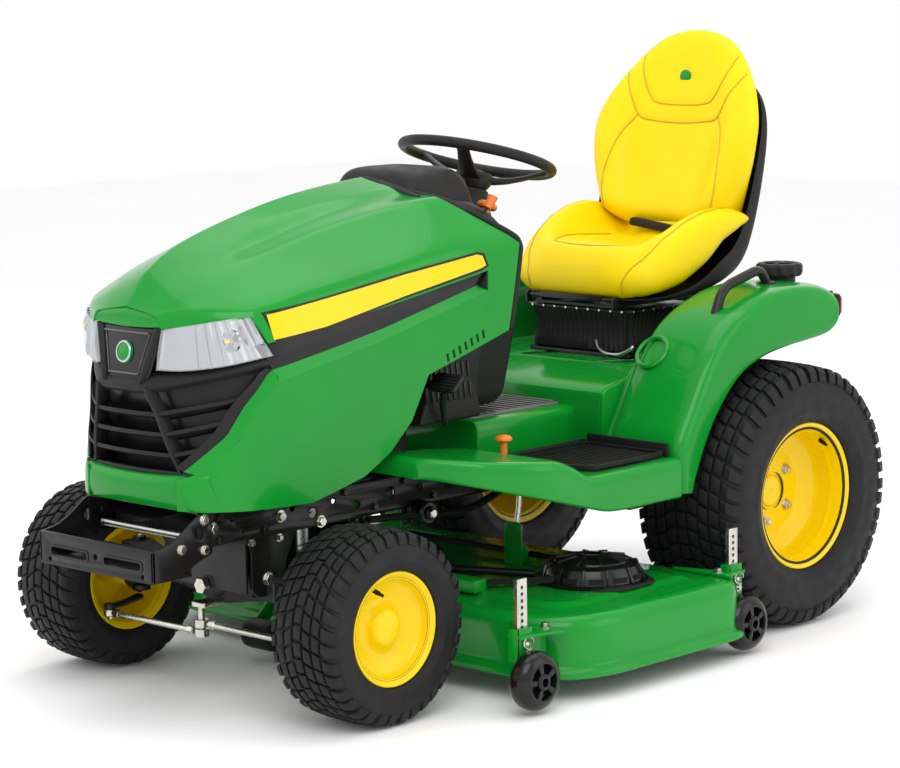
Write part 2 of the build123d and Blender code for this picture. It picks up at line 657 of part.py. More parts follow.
def seat_slides():
    """Pair of runners with cross bar and hinge ears, sliding on the suspension."""
    runner = block(100, 124, 470, 770, SLIDE_Z, SLIDE_Z + 12)
    pivot_y, pivot_z = TILT_AT
    ears = block(132, 138, pivot_y - EAR_RADIUS, pivot_y + EAR_RADIUS, SLIDE_Z, pivot_z)
    ears = ears + rod("X", TILT_AT, EAR_RADIUS, 132, 138)
    ears = ears - rod("X", TILT_AT, 5 + RUNNING, 120, 150)
    bar = block(-138, 138, 470, 478, SLIDE_Z, SLIDE_Z + 6) + block(-124, 124, 700, 716, SLIDE_Z, SLIDE_Z + 12)
    return runner + mirrored(runner) + ears + mirrored(ears) + bar


def seat_shell():
    """Seat pan and back shell in one bent, dished moulding, with the tilt pin below its front."""
    outline = [(452, 751), (800, 751), (872, 800), (950, 1040), (956, 1180), (938, 1180), (930, 1042)]
    outline = outline + [(846, 816), (790, 763), (452, 763)]
    pan = side_prism(outline, -SEAT_HALF + 14, SEAT_HALF - 14)
    return pan + rod("X", TILT_AT, 5, -140, 140) + block(-96, 96, 458, 470, 736, 752)


def seat_cushion():
    """Foam cushion, a plain rounded block in this model."""
    outline = [(478, 766), (470, 850), (500, 884), (640, 876), (762, 890), (786, 800), (770, 766)]
    cushion = side_prism(outline, -SEAT_HALF, SEAT_HALF)
    trim = [(-150, 460), (150, 460), (226, 500), (SEAT_HALF, 580), (SEAT_HALF, 760), (232, 800)]
    trim = trim + [(-232, 800), (-SEAT_HALF, 760), (-SEAT_HALF, 580), (-226, 500)]
    return cushion & plan_prism(trim, 700, 900)


def seat_backrest():
    """Foam backrest with a narrower head."""
    outline = [(800, 836), (774, 900), (800, 1000), (828, 1100), (880, 1260), (906, 1345), (940, 1355)]
    outline = outline + [(962, 1330), (966, 1260), (958, 1182), (934, 1182), (926, 1042), (842, 822)]
    back = side_prism(outline, -BACK_HALF, BACK_HALF)
    half = [(190, 810), (222, 900), (240, 1000), (BACK_HALF, 1090), (228, 1180), (184, 1270), (128, 1335), (76, 1360)]
    points = half + [(-x, z) for x, z in reversed(half)]
    face = make_face(Polyline(*[(x, 700, z) for x, z in points], close=True))
    return back & extrude(face, amount=320, dir=(0, 1, 0))


# Controls --------------------------------------------------------------------------------------


def brake_pedal():
    """Left foot brake: arm on the pedestal's side and a ribbed pad."""
    arm = block(243, 251, -262, -246, 560, 660) + rod("X", (-254, 652), 12, 241, 251)
    pad = side_prism([(-300, 556), (-232, 540), (-230, 548), (-298, 564)], 243, 330)
    return arm + pad


def drive_pedal(x, y):
    """Rocking foot pad on a post above the right running board."""
    pad = side_prism([(y - 40, 528), (y + 44, 506), (y + 46, 514), (y - 38, 536)], x - 34, x + 34)
    return pad + rod("X", (y, 512), 8, x - 20, x + 20)


def diff_lock_button():
    """Mushroom foot button on a stem through the left running board."""
    x, y = BUTTON_AT
    return rod("Z", (x, y), 8, 470, 500) + rod("Z", (x, y), 19, 500, 512)


def pto_knob():
    """Pull knob of the blade clutch switch."""
    x, y = KNOB_AT
    return rod("Z", (x, y), 5, 940, 1000) + rod("Z", (x, y), 15, 1000, 1016)


# Write every node ------------------------------------------------------------------------------


save(frame_rail(), "left_frame_rail")
save(mirrored(frame_rail()), "right_frame_rail")
save(front_bumper(), "front_bumper")
save(axle_hanger(), "axle_hanger")
save(hitch_plate(), "hitch_plate")
save(transaxle(), "transaxle")
save(engine(), "engine")
save(pto_pulley(), "pto_pulley")
save(fuel_tank(), "fuel_tank")
save(fuel_cap(), "fuel_cap")
save(fender_deck(), "fender_deck")
save(group(footrest(), mirrored(footrest())), "footrests")
save(group(footrest_mat(), mirrored(footrest_mat())), "footrest_mats")
save(tunnel_cover(), "tunnel_cover")
save(dash_tower(), "dash_tower")
save(steering_shaft(), "steering_shaft")
save(steering_wheel(), "steering_wheel")
save(group(grab_handle(), mirrored(grab_handle())), "grab_handles")
save(hood_shell(), "hood_shell")
save(front_grille(), "front_grille")
save(group(headlight(), mirrored(headlight())), "headlight_lenses")
save(front_axle_beam(), "front_axle_beam")
save(knuckle(1, 148), "left_knuckle")
save(knuckle(-1, 128), "right_knuckle")
save(steering_sector(), "steering_sector")
save(tie_rod(1, 160), "left_tie_rod")
save(tie_rod(-1, 140), "right_tie_rod")
for name, side in (("left", 1), ("right", -1)):
    flip = side < 0
    save(tyre(FRONT_TYRE_RADIUS, FRONT_TYRE_WIDTH, 101, 71, FRONT_RIM_RADIUS, side * FRONT_WHEEL_X, FRONT_AXLE_Y, flip),
         f"{name}_front_tyre")
    save(tyre(REAR_TYRE_RADIUS, REAR_TYRE_WIDTH, 152, 118, REAR_RIM_RADIUS, side * REAR_WHEEL_X, REAR_AXLE_Y, flip),
         f"{name}_rear_tyre")
    save(front_rim(side), f"{name}_front_rim")
    save(rear_rim(side), f"{name}_rear_rim")
    save(gauge_wheel(side, GAUGE_FRONT_Y), f"{name}_front_gauge_wheel")
    save(gauge_wheel(side, GAUGE_REAR_Y), f"{name}_rear_gauge_wheel")
for (name, (x, y)), angle in zip(SPINDLES.items(), (90, 0, 90)):
    save(spindle(x, y), f"{name}_spindle")
    save(blade(x, y, angle), f"{name}_blade")
save(deck_shell(), "deck_shell")
save(group(belt_cover(), mirrored(belt_cover())), "belt_covers")
save(deck_belt(), "deck_belt")
save(discharge_chute(), "discharge_chute")
save(deck_roller(), "deck_roller")
save(seat_suspension(), "seat_suspension")
save(seat_slides(), "seat_slides")
save(seat_shell(), "seat_shell")
save(seat_cushion(), "seat_cushion")
save(seat_backrest(), "seat_backrest")
save(brake_pedal(), "brake_pedal")
save(drive_pedal(-300, -210), "forward_pedal")
save(drive_pedal(-390, -170), "reverse_pedal")
save(diff_lock_button(), "diff_lock_button")
save(pto_knob(), "pto_knob")
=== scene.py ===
import math

import bmesh
import bpy
from mathutils import Matrix, Vector
from mathutils.bvhtree import BVHTree
from mathutils.kdtree import KDTree


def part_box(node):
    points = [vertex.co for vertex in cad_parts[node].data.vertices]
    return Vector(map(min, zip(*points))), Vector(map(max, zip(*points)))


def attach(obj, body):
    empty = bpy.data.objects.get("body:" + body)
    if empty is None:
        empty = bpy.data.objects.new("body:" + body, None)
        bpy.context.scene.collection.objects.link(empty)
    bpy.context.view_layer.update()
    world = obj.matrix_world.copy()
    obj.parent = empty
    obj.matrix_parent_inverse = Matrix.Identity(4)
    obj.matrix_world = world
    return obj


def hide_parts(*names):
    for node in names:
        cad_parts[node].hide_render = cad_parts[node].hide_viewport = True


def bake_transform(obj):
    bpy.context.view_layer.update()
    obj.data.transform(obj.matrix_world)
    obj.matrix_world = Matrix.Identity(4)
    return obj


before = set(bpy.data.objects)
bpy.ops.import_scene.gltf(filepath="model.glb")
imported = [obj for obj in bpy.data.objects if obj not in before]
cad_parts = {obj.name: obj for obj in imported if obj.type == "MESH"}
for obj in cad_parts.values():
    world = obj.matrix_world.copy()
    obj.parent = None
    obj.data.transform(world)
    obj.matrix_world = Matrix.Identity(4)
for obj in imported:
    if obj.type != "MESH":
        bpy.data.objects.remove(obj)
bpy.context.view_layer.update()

# Riding lawn mower. Lengths below are millimetres about the machine's centreline and mid-wheelbase,
# with +X its left, -Y its front and the ground at Z 0; at() turns them into the frame's metres.


def middle(node):
    """Centre of a CAD node's box in the frame."""
    low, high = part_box(node)
    return (low + high) / 2


FRONT, REAR, FAR_REAR = [middle(f"{end}_tyre") for end in ("left_front", "left_rear", "right_rear")]
ORIGIN = Vector(((REAR.x + FAR_REAR.x) / 2, (FRONT.y + REAR.y) / 2, 0))
SIDES = (("left", 1), ("right", -1))
MERGE_DISTANCE = 0.00002
BEVEL_FROM_DEGREES = 32


def at(point):
    """A point of the drawing, in millimetres, as a point of the frame."""
    return ORIGIN + Vector(point) / 1000


def drawn(point):
    """A point of the frame as a point of the drawing, in millimetres."""
    return (Vector(point) - ORIGIN) * 1000


# Mesh building --------------------------------------------------------------------------------


class Shape:
    """Points in millimetres and the faces between them."""

    def __init__(self, points, faces):
        self.points = [Vector(p) for p in points]
        self.faces = [tuple(f) for f in faces]

    def __add__(self, other):
        shift = len(self.points)
        faces = self.faces + [tuple(i + shift for i in f) for f in other.faces]
        return Shape(self.points + other.points, faces)

    def changed(self, change):
        return Shape([change(p) for p in self.points], self.faces)

    def moved(self, x, y, z):
        step = Vector((x, y, z))
        return self.changed(lambda p: p + step)

    def turned(self, axis, degrees, about=(0, 0, 0)):
        centre = Vector(about)
        turn = Matrix.Rotation(math.radians(degrees), 3, axis)
        return self.changed(lambda p: turn @ (p - centre) + centre)

    def flipped(self):
        """Mirror image across the machine's centreline."""
        faces = [tuple(reversed(f)) for f in self.faces]
        return Shape([Vector((-p.x, p.y, p.z)) for p in self.points], faces)

    def on_side(self, sign):
        """The shape itself for +1, its mirror image for -1."""
        return self if sign > 0 else self.flipped()

    def both(self):
        return self + self.flipped()


def total(shapes):
    shapes = list(shapes)
    result = shapes[0]
    for shape in shapes[1:]:
        result = result + shape
    return result


def grid(rows, round_rows=False, round_columns=False, caps=False):
    """Quads through equal rows of points; caps closes the first and last row."""
    count, width = len(rows), len(rows[0])
    faces = []
    for i in range(count if round_rows else count - 1):
        for j in range(width if round_columns else width - 1):
            a, b = i * width, (i + 1) % count * width
            k = (j + 1) % width
            faces.append((a + j, a + k, b + k, b + j))
    if caps:
        faces.append(tuple(reversed(range(width))))
        faces.append(tuple((count - 1) * width + j for j in range(width)))
    return Shape([p for row in rows for p in row], faces)


def oblong(u0, u1, v0, v1):
    """Corners of a rectangle."""
    return [(u0, v0), (u1, v0), (u1, v1), (u0, v1)]


def slab(x0, x1, y0, y1, z0, z1):
    rows = [[(x0, y0, z), (x1, y0, z), (x1, y1, z), (x0, y1, z)] for z in (z0, z1)]
    return grid(rows, round_columns=True, caps=True)


def lifted(axis, u, v, w):
    """A point from its place w along an axis and its other two coordinates, in X, Y, Z order."""
    return {"X": (w, u, v), "Y": (u, w, v), "Z": (u, v, w)}[axis]


def prism(outline, axis, low, high):
    """Flat outline carried along an axis, given in the other two axes in X, Y, Z order."""
    rows = [[lifted(axis, u, v, w) for u, v in outline] for w in (low, high)]
    return grid(rows, round_columns=True, caps=True)


def lathe(profile, axis, centre, steps=48, closed=False):
    """Profile of (distance along the axis, radius), turned about a line through centre."""
    rows = []
    for along, radius in profile:
        row = []
        for i in range(steps):
            angle = math.tau * i / steps
            u, v = radius * math.cos(angle), radius * math.sin(angle)
            row.append(Vector(centre) + Vector(lifted(axis, u, v, along)))
        rows.append(row)
    return grid(rows, round_rows=closed, round_columns=True)


def bar(axis, centre, radius, low, high, rim=1.0, steps=24):
    """Solid round bar with broken edges; low and high are along the axis from centre."""
    profile = [(low, 0.01), (low, radius - rim), (low + rim, radius)]
    profile += [(high - rim, radius), (high, radius - rim), (high, 0.01)]
    return lathe(profile, axis, centre, steps)


def smooth_line(points, steps=6):
    """Catmull-Rom line through a few points."""
    pts = [Vector(p) for p in points]
    pts = [pts[0] * 2 - pts[1]] + pts + [pts[-1] * 2 - pts[-2]]
    line = []
    for a, b, c, d in zip(pts, pts[1:], pts[2:], pts[3:]):
        for i in range(steps):
            t = i / steps
            line.append(0.5 * (2 * b + (c - a) * t + (2 * a - 5 * b + 4 * c - d) * t * t
                               + (3 * b - a - 3 * c + d) * t ** 3))
    return line + [pts[-2]]


def tube(points, radius, steps=12, flat=1.0):
    """Round bar along a line of points; flat squeezes it across the line."""
    pts = [Vector(p) for p in points]
    rows, side = [], None
    for i, p in enumerate(pts):
        ahead = (pts[min(i + 1, len(pts) - 1)] - pts[max(i - 1, 0)]).normalized()
        if side is None:
            side = ahead.cross(Vector((0.1, 0.2, 1))).normalized()
        side = (side - ahead * side.dot(ahead)).normalized()
        up = ahead.cross(side)
        size = radius(i / (len(pts) - 1)) if callable(radius) else radius
        rows.append([p + size * (side * math.cos(math.tau * j / steps) + up * flat
                                 * math.sin(math.tau * j / steps)) for j in range(steps)])
    return grid(rows, round_columns=True, caps=True)


def rounded(points, radii, steps=5):
    """Flat outline with its corners rounded; a radius of 0 keeps the corner."""
    result = []
    count = len(points)
    for i, p in enumerate(points):
        radius = radii[i] if isinstance(radii, (list, tuple)) else radii
        here = Vector(p)
        before, after = Vector(points[i - 1]) - here, Vector(points[(i + 1) % count]) - here
        if radius <= 0:
            result.append(tuple(here))
            continue
        reach = min(radius, before.length * 0.48, after.length * 0.48)
        start, end = here + before.normalized() * reach, here + after.normalized() * reach
        for k in range(steps + 1):
            t = k / steps
            result.append(tuple(start * (1 - t) ** 2 + here * 2 * t * (1 - t) + end * t * t))
    return result


def between(value, points):
    """Straight-line interpolation through (key, value) pairs."""
    if value <= points[0][0]:
        return points[0][1]
    for (k0, v0), (k1, v1) in zip(points, points[1:]):
        if value <= k1:
            return v0 + (v1 - v0) * (value - k0) / (k1 - k0)
    return points[-1][1]


def eased(t):
    t = min(1.0, max(0.0, t))
    return t * t * (3 - 2 * t)


def built(name, shape, weld=False):
    """Blender object of a shape, with its normals turned outward."""
    mesh = bpy.data.meshes.new(name)
    mesh.from_pydata([at(p) for p in shape.points], [], shape.faces)
    work = bmesh.new()
    work.from_mesh(mesh)
    if weld:
        bmesh.ops.remove_doubles(work, verts=work.verts, dist=MERGE_DISTANCE)
    bmesh.ops.recalc_face_normals(work, faces=work.faces)
    work.to_mesh(mesh)
    work.free()
    obj = bpy.data.objects.new(name, mesh)
    bpy.context.scene.collection.objects.link(obj)
    return obj


def piece(name, shape, material, body, stands_for=(), slot=None, bevel=0.0, segments=2, levels=0,
          thick=0.0, sharp=34, weld=True, cut=()):
    """Make a shape a piece that rides on a body; its sizes are in millimetres."""
    obj = built(name, shape, weld)
    if thick:
        shell = obj.modifiers.new("thick", "SOLIDIFY")
        shell.thickness = thick / 1000
        shell.offset = -1
    for other in cut:
        knife = obj.modifiers.new("cut", "BOOLEAN")
        knife.operation = "DIFFERENCE"
        knife.object = other
        knife.solver = "EXACT"
    if bevel:
        edge = obj.modifiers.new("edges", "BEVEL")
        edge.width = bevel / 1000
        edge.segments = segments
        edge.limit_method = "ANGLE"
        edge.angle_limit = math.radians(BEVEL_FROM_DEGREES)
    if levels:
        rounder = obj.modifiers.new("round", "SUBSURF")
        rounder.levels = rounder.render_levels = levels
    settle(obj, sharp)
    obj.data.materials.append(material)
    if body:
        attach(obj, body)
    slot or SLOT_OF[material.name]
    if stands_for:
        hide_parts(*stands_for)
    return obj


def settle(obj, sharp=34):
    """Turn an object's modifiers into its mesh, shaded smooth except across sharp edges."""
    bpy.context.view_layer.update()
    graph = bpy.context.evaluated_depsgraph_get()
    made = bpy.data.meshes.new_from_object(obj.evaluated_get(graph))
    obj.modifiers.clear()
    old = obj.data
    obj.data = made
    bpy.data.meshes.remove(old)
    made.shade_smooth()
    made.set_sharp_from_angle(angle=math.radians(sharp))


def cutter(shape):
    """A solid for boolean cuts; drop() removes it when the cuts are made."""
    return built("cutter", shape)


def drop(objects):
    for obj in objects:
        bpy.data.objects.remove(obj)


# Materials ------------------------------------------------------------------------------------

# Material slot that each finish stands in, unless a piece names another.
SLOT_OF = {}


def finish(name, colour, shade=0.85, roughness=0.4, spread=0.08, grain=(0, 0), metal=0.0,
           coat=0.0, tone=9.0, wave=(0, 0), specular=0.5, cells=(0, 0), slot=None):
    """Procedural finish: a base colour that drifts a little, uneven gloss and a fine relief.

    grain, wave and cells are (features per metre, depth in millimetres) of a random grain, of
    an orange-peel swell and of a pebbled moulding texture.
    """
    mat = bpy.data.materials.new(name)
    mat.use_nodes = True
    nodes, links = mat.node_tree.nodes, mat.node_tree.links
    out = nodes["Principled BSDF"]
    place = nodes.new("ShaderNodeTexCoord").outputs["Object"]

    def noise(scale, detail=3.0):
        node = nodes.new("ShaderNodeTexNoise")
        node.inputs["Scale"].default_value = scale
        node.inputs["Detail"].default_value = detail
        links.new(place, node.inputs["Vector"])
        return node.outputs["Fac"]

    def ramp(value, low, high):
        node = nodes.new("ShaderNodeMapRange")
        node.inputs["From Min"].default_value = 0.3
        node.inputs["From Max"].default_value = 0.7
        node.inputs["To Min"].default_value = low
        node.inputs["To Max"].default_value = high
        links.new(value, node.inputs["Value"])
        return node.outputs["Result"]

    mix = nodes.new("ShaderNodeMix")
    mix.data_type = "RGBA"
    mix.inputs["A"].default_value = (*colour, 1)
    mix.inputs["B"].default_value = (*[c * shade for c in colour], 1)
    links.new(ramp(noise(tone), 0, 1), mix.inputs["Factor"])
    links.new(mix.outputs["Result"], out.inputs["Base Color"])
    links.new(ramp(noise(tone * 4), max(0.02, roughness - spread), roughness + spread),
              out.inputs["Roughness"])
    out.inputs["Metallic"].default_value = metal
    out.inputs["Coat Weight"].default_value = coat
    out.inputs["Coat Roughness"].default_value = 0.06
    out.inputs["Specular IOR Level"].default_value = specular
    normal = None
    reliefs = [(wave, 1.0, "noise"), (grain, 6.0, "noise"), (cells, 0.0, "cells")]
    for (scale, depth), detail, kind in reliefs:
        if not scale:
            continue
        bump = nodes.new("ShaderNodeBump")
        bump.inputs["Strength"].default_value = 1.0
        bump.inputs["Distance"].default_value = depth / 1000
        if kind == "noise":
            links.new(noise(scale, detail), bump.inputs["Height"])
        else:
            node = nodes.new("ShaderNodeTexVoronoi")
            node.feature = "SMOOTH_F1"
            node.inputs["Scale"].default_value = scale
            links.new(place, node.inputs["Vector"])
            links.new(node.outputs["Distance"], bump.inputs["Height"])
        if normal is not None:
            links.new(normal, bump.inputs["Normal"])
        normal = bump.outputs["Normal"]
    if normal is not None:
        links.new(normal, out.inputs["Normal"])
    SLOT_OF[mat.name] = slot or name
    return mat


GREEN = finish("green_paint", (0.003, 0.262, 0.022), 0.9, 0.22, 0.04, coat=0.26, specular=0.18,
               wave=(260, 0.02), tone=5)
YELLOW = finish("yellow_paint", (0.86, 0.6, 0.0), 0.94, 0.28, 0.05, coat=0.15, specular=0.25,
                wave=(300, 0.02))
BLACK = finish("black_paint", (0.009, 0.0088, 0.0085), 0.7, 0.34, 0.07, coat=0.1, specular=0.3,
               wave=(400, 0.04))
PLASTIC = finish("black_plastic", (0.014, 0.0135, 0.013), 0.8, 0.5, 0.06, cells=(900, 0.16),
                 specular=0.25)
GLOSS = finish("gloss_black_plastic", (0.006, 0.006, 0.006), 0.8, 0.2, 0.03, wave=(200, 0.02),
               coat=0.1, specular=0.3)
ORANGE = finish("orange_plastic", (0.85, 0.2, 0.012), 0.9, 0.38, 0.05, cells=(700, 0.08))
VINYL = finish("seat_vinyl", (0.88, 0.64, 0.0), 0.95, 0.42, 0.05, specular=0.2, cells=(520, 0.22),
               grain=(900, 0.05))
# Darker copy of the seat vinyl for the seam beads: painted shade in the sewn creases.
SEAM_SHADE = finish("seam_shade_vinyl", (0.55, 0.38, 0.004), 0.9, 0.5, 0.05, cells=(520, 0.2))
RUBBER = finish("rubber", (0.011, 0.011, 0.011), 0.8, 0.62, 0.08, grain=(600, 0.1), specular=0.22)
TYRE = finish("tyre_rubber", (0.012, 0.012, 0.0125), 0.72, 0.58, 0.09, grain=(420, 0.16),
              specular=0.25)
STEEL = finish("bare_steel", (0.5, 0.5, 0.49), 0.85, 0.3, 0.08, metal=1.0, grain=(700, 0.03))
ZINC = finish("zinc_plate", (0.62, 0.6, 0.54), 0.84, 0.26, 0.07, metal=1.0, grain=(300, 0.03),
              tone=30, slot="bare_steel")
IRON = finish("cast_iron", (0.02, 0.02, 0.021), 0.75, 0.55, 0.08, grain=(320, 0.5), metal=0.3)
ALLOY = finish("engine_alloy", (0.3, 0.3, 0.3), 0.85, 0.42, 0.08, grain=(350, 0.25), metal=0.85)
# Chrome darkened below its own brightness: painted shade for the dark reflections in the lamp
# bowls; the bulb cups and badge ring share it.
SHADED_CHROME = finish("shaded_chrome", (0.42, 0.44, 0.47), 0.95, 0.14, 0.03, metal=1.0, wave=(60, 0.1))
GREY = finish("grey_plastic", (0.12, 0.12, 0.12), 0.85, 0.45, 0.05, cells=(700, 0.1))
BULB = finish("bulb", (0.9, 0.75, 0.35), 0.9, 0.2, 0.05, metal=0.5)
REFLECTOR = finish("red_reflector", (0.5, 0.01, 0.01), 0.8, 0.2, 0.05, cells=(500, 0.5), coat=0.5)

# Hood -----------------------------------------------------------------------------------------

# Half sections of the hood: y, then (x, z) of its lower edge, side, shoulder, crease and centre.
HOOD = [
    (-905, (140, 442), (136, 640), (100, 834), (62, 841), (0, 848)),
    (-852, (205, 440), (192, 700), (180, 840), (106, 872), (0, 908)),
    (-780, (240, 438), (268, 740), (246, 846), (136, 901), (0, 953)),
    (-650, (262, 437), (290, 760), (272, 872), (141, 943), (0, 996)),
    (-450, (280, 437), (298, 775), (290, 900), (162, 994), (0, 1041)),
    (-228, (296, 437), (302, 790), (297, 930), (194, 1029), (0, 1066)),
    (-20, (300, 437), (304, 790), (299, 940), (200, 1032), (0, 1070)),
]
HOOD_ROUNDING = (70, 22, 14, 16, 12)
HOOD_SHEET = 3.5
REAR_CUT = [(-228, 1120), (-228, 1056), (-46, 926), (-60, 860), (-87, 741), (-332, 670),
            (-379, 577), (-440, 515), (-509, 474), (-640, 438), (-640, 400), (40, 400), (40, 1120)]


def spline_at(key, rows):
    """Catmull-Rom value of rows of (key, ...numbers) at a key, with ends held."""
    last = len(rows) - 2
    i = 0
    while i < last and key > rows[i + 1][0]:
        i += 1
    a, b = rows[max(i - 1, 0)], rows[i]
    c, d = rows[i + 1], rows[min(i + 2, last + 1)]
    span = c[0] - b[0]
    t = (key - b[0]) / span
    result = []
    for va, vb, vc, vd in zip(a[1:], b[1:], c[1:], d[1:]):
        mb = (vc - va) / (c[0] - a[0]) * span
        mc = (vd - vb) / (d[0] - b[0]) * span
        result.append((2 * t ** 3 - 3 * t * t + 1) * vb + (t ** 3 - 2 * t * t + t) * mb
                      + (3 * t * t - 2 * t ** 3) * vc + (t ** 3 - t * t) * mc)
    return result


HOOD_FLAT = [(row[0], *[value for point in row[1:] for value in point]) for row in HOOD]


def hood_section(y):
    """Rounded half section of the hood at y, from its lower edge up to the centreline."""
    flat = spline_at(y, HOOD_FLAT)
    lower, side, shoulder, crease, centre = [Vector(flat[i:i + 2]) for i in range(0, 10, 2)]
    raised = eased((y + 745) / 130)
    foot = crease.lerp(centre, 0.34) - Vector((0, 9 * raised))
    brow = crease.lerp(centre, 0.34 + 0.2 * raised + 0.04)
    centre = centre + Vector((0, 1.5))
    outline = [lower, side, shoulder, crease, foot, brow, centre]
    divisions = (30, 22, 12, 8, 4, 6)
    result = [outline[0]]
    for i, (a, b) in enumerate(zip(outline, outline[1:])):
        length = (b - a).length
        start = min(HOOD_ROUNDING[i - 1], length * 0.45) if i else 0
        end = min(HOOD_ROUNDING[i], length * 0.45) if i < 5 else 0
        near, far = a + (b - a) * (start / length), b - (b - a) * (end / length)
        for k in range(1, divisions[i] + 1):
            result.append(near.lerp(far, k / divisions[i]))
        if i < 5:
            after = outline[i + 2] - b
            out = b + after * (min(HOOD_ROUNDING[i], after.length * 0.45) / after.length)
            for k in range(1, 5):
                t = k / 5
                result.append(far * (1 - t) ** 2 + b * 2 * t * (1 - t) + out * t * t)
    return result


def skin(y, z):
    """Half width of the hood's side at y and z."""
    section = hood_section(y)
    for a, b in zip(section, section[1:]):
        if a.y <= z <= b.y:
            return a.x + (b.x - a.x) * (z - a.y) / max(b.y - a.y, 0.001)
    return section[0].x


def hood_half():
    rows = []
    y = -905.0
    while y < -20:
        rows.append([(p.x, y, p.y) for p in hood_section(y)])
        y += 8 if y < -740 else 12
    return grid(rows)


def crown(x):
    """Height of the hood's front edge above the crest."""
    return between(abs(x), [(0, 849), (62, 842), (100, 834)])


FACE_CUT = [(-990, 508), (-898, 508), (-880, 516), (-850, 546), (-815, 583), (-787, 646),
            (-744, 702), (-752, 757), (-786, 833), (-898, 810), (-990, 806)]
SLOT_TOP = [(-775, 777), (-462, 824), (-148, 875)]
SLOT_LOW = [(-752, 724), (-462, 779), (-175, 845)]
SLOT_SILL = [(-740, 701), (-463, 757), (-150, 832)]


def ribbon(upper, lower, columns=4, steps=24, out_upper=0.0, out_lower=0.0, tilt=0.0):
    """Strip between two lines of (y, z) on the hood's side, standing out from it by so much."""
    rows = []
    for i in range(steps + 1):
        t = i / steps
        top, low = along(upper, t), along(lower, t)
        row = []
        for j in range(columns + 1):
            s = j / columns
            y, z = top[0] + (low[0] - top[0]) * s, top[1] + (low[1] - top[1]) * s
            out = out_upper + (out_lower - out_upper) * s + tilt * math.sin(math.pi * s)
            row.append((skin(y, z) + out, y, z))
        rows.append(row)
    return grid(rows)


def along(line, t):
    """Point at a share t of the way along a line of points."""
    place = min(t, 0.99999) * (len(line) - 1)
    i = int(place)
    return [a + (b - a) * (place - i) for a, b in zip(line[i], line[i + 1])]


SLOT_CUT = SLOT_TOP + SLOT_SILL[::-1]
vents = []
for i in range(7):
    vy, vz = -276 + 18 * i, 690 + 6.6 * i
    vents.append(prism([(vy, vz), (vy + 7, vz + 3), (vy + 2, vz + 21), (vy - 5, vz + 18)], "X",
                       -340, 340))
knives = [cutter(prism(REAR_CUT, "X", -360, 360)), cutter(prism(FACE_CUT, "X", -360, 360))]
knives += [cutter(prism(SLOT_CUT, "X", low, high)) for low, high in ((250, 340), (-340, -250))]
knives += [cutter(v) for v in vents]
piece("hood_skin", hood_half().both(), GREEN, "hood", ["hood_shell"], thick=HOOD_SHEET, cut=knives,
      sharp=32)
drop(knives)

# The nose above the crest rolls down to the lamps' upper edge.
nose_rows = []
for x in range(-100, 101, 10):
    top = crown(x)
    low = 806 + abs(x) * 0.03
    ahead = -906 + 0.0006 * x * x
    nose_rows.append([(x, -900, top - 1), (x, ahead - 1, top - 5), (x, ahead - 3, top - 14),
                      (x, ahead - 2, low + 4), (x, ahead + 2, low), (x, ahead + 10, low + 1)])
piece("hood_nose", grid(nose_rows), GREEN, "hood", levels=2, sharp=40)

# Lower lip of the hood below the grille.
CHIN = [((0, -914, 512), (0, -918, 462), (0, -910, 443)),
        ((100, -908, 513), (110, -911, 462), (118, -903, 441)),
        ((138, -901, 516), (160, -898, 462), (168, -890, 438)),
        ((168, -888, 518), (188, -874, 458), (196, -866, 438)),
        ((190, -868, 520), (206, -850, 455), (207, -846, 439))]
chin_rows = []
far_chin = [[(-x, y, z) for x, y, z in station] for station in CHIN[:0:-1]]
for row in far_chin + CHIN:
    top, mid_point, low = [Vector(p) for p in row]
    back = Vector((0, 26, -2))
    chin_rows.append([top + back, top, top.lerp(mid_point, 0.5) + Vector((0, -2, 0)), mid_point,
                      mid_point.lerp(low, 0.6), low, low + Vector((0, 16, 0))])
piece("hood_chin", grid(chin_rows), GREEN, "hood", levels=2, sharp=40)

# Recessed black slot with a green sill below it, and the yellow stripe over it.
STRIPE_LINE_TOP = [(-766, 840), (-640, 856), (-400, 892), (-180, 917), (-158, 913)]
STRIPE_LINE_LOW = [(-745, 781), (-620, 796), (-400, 838), (-170, 876), (-146, 884)]
STRIPE_TOP = [(-757, 835), (-640, 852), (-400, 887), (-182, 912), (-165, 908)]
STRIPE_LOW = [(-750, 785), (-620, 800), (-400, 843), (-174, 881), (-155, 887)]
RIM_OUT = [(-880, 516), (-850, 546), (-815, 583), (-787, 646), (-744, 702), (-739, 702)]
RIM_IN = [(-892, 522), (-864, 556), (-830, 594), (-803, 656), (-762, 718), (-752, 724)]
BORDER_IN = [(-902, 530), (-878, 562), (-848, 602), (-820, 662), (-778, 722), (-766, 728)]
slot_ends = [[(skin(*p) + out, *p) for out in (-9, -0.5)]
             for p in (SLOT_TOP[-1], SLOT_LOW[-1], SLOT_SILL[-1])]
slot_walls = ribbon(SLOT_LOW, SLOT_TOP, 4, out_upper=-8, out_lower=-9)
slot_walls += ribbon(SLOT_TOP, SLOT_TOP, 2, out_upper=-9, out_lower=-0.5) + grid(slot_ends)
stripe_line = ribbon(STRIPE_LINE_TOP, STRIPE_LINE_LOW, 6, out_upper=0.8, out_lower=0.8)
stripe = ribbon(STRIPE_TOP, STRIPE_LOW, 6, out_upper=1.5, out_lower=1.5)
grille_border = ribbon(RIM_IN, BORDER_IN, 4, out_upper=-7, out_lower=-6, tilt=4)
SIDE_SHAPES = [
    ("slot_sill", ribbon(SLOT_SILL, SLOT_LOW, 3, out_lower=-8), GREEN, {"sharp": 40}),
    ("slot", slot_walls, BLACK, {"sharp": 40}),
    ("stripe_line", stripe_line, BLACK, {"thick": 0.7}),
    ("stripe", stripe, YELLOW, {"thick": 1.2}),
    ("grille_rim", ribbon(RIM_OUT, RIM_IN, 3, out_lower=-8), GREEN, {"sharp": 40}),
    ("grille_border", grille_border, PLASTIC, {"thick": 4, "sharp": 40}),
]
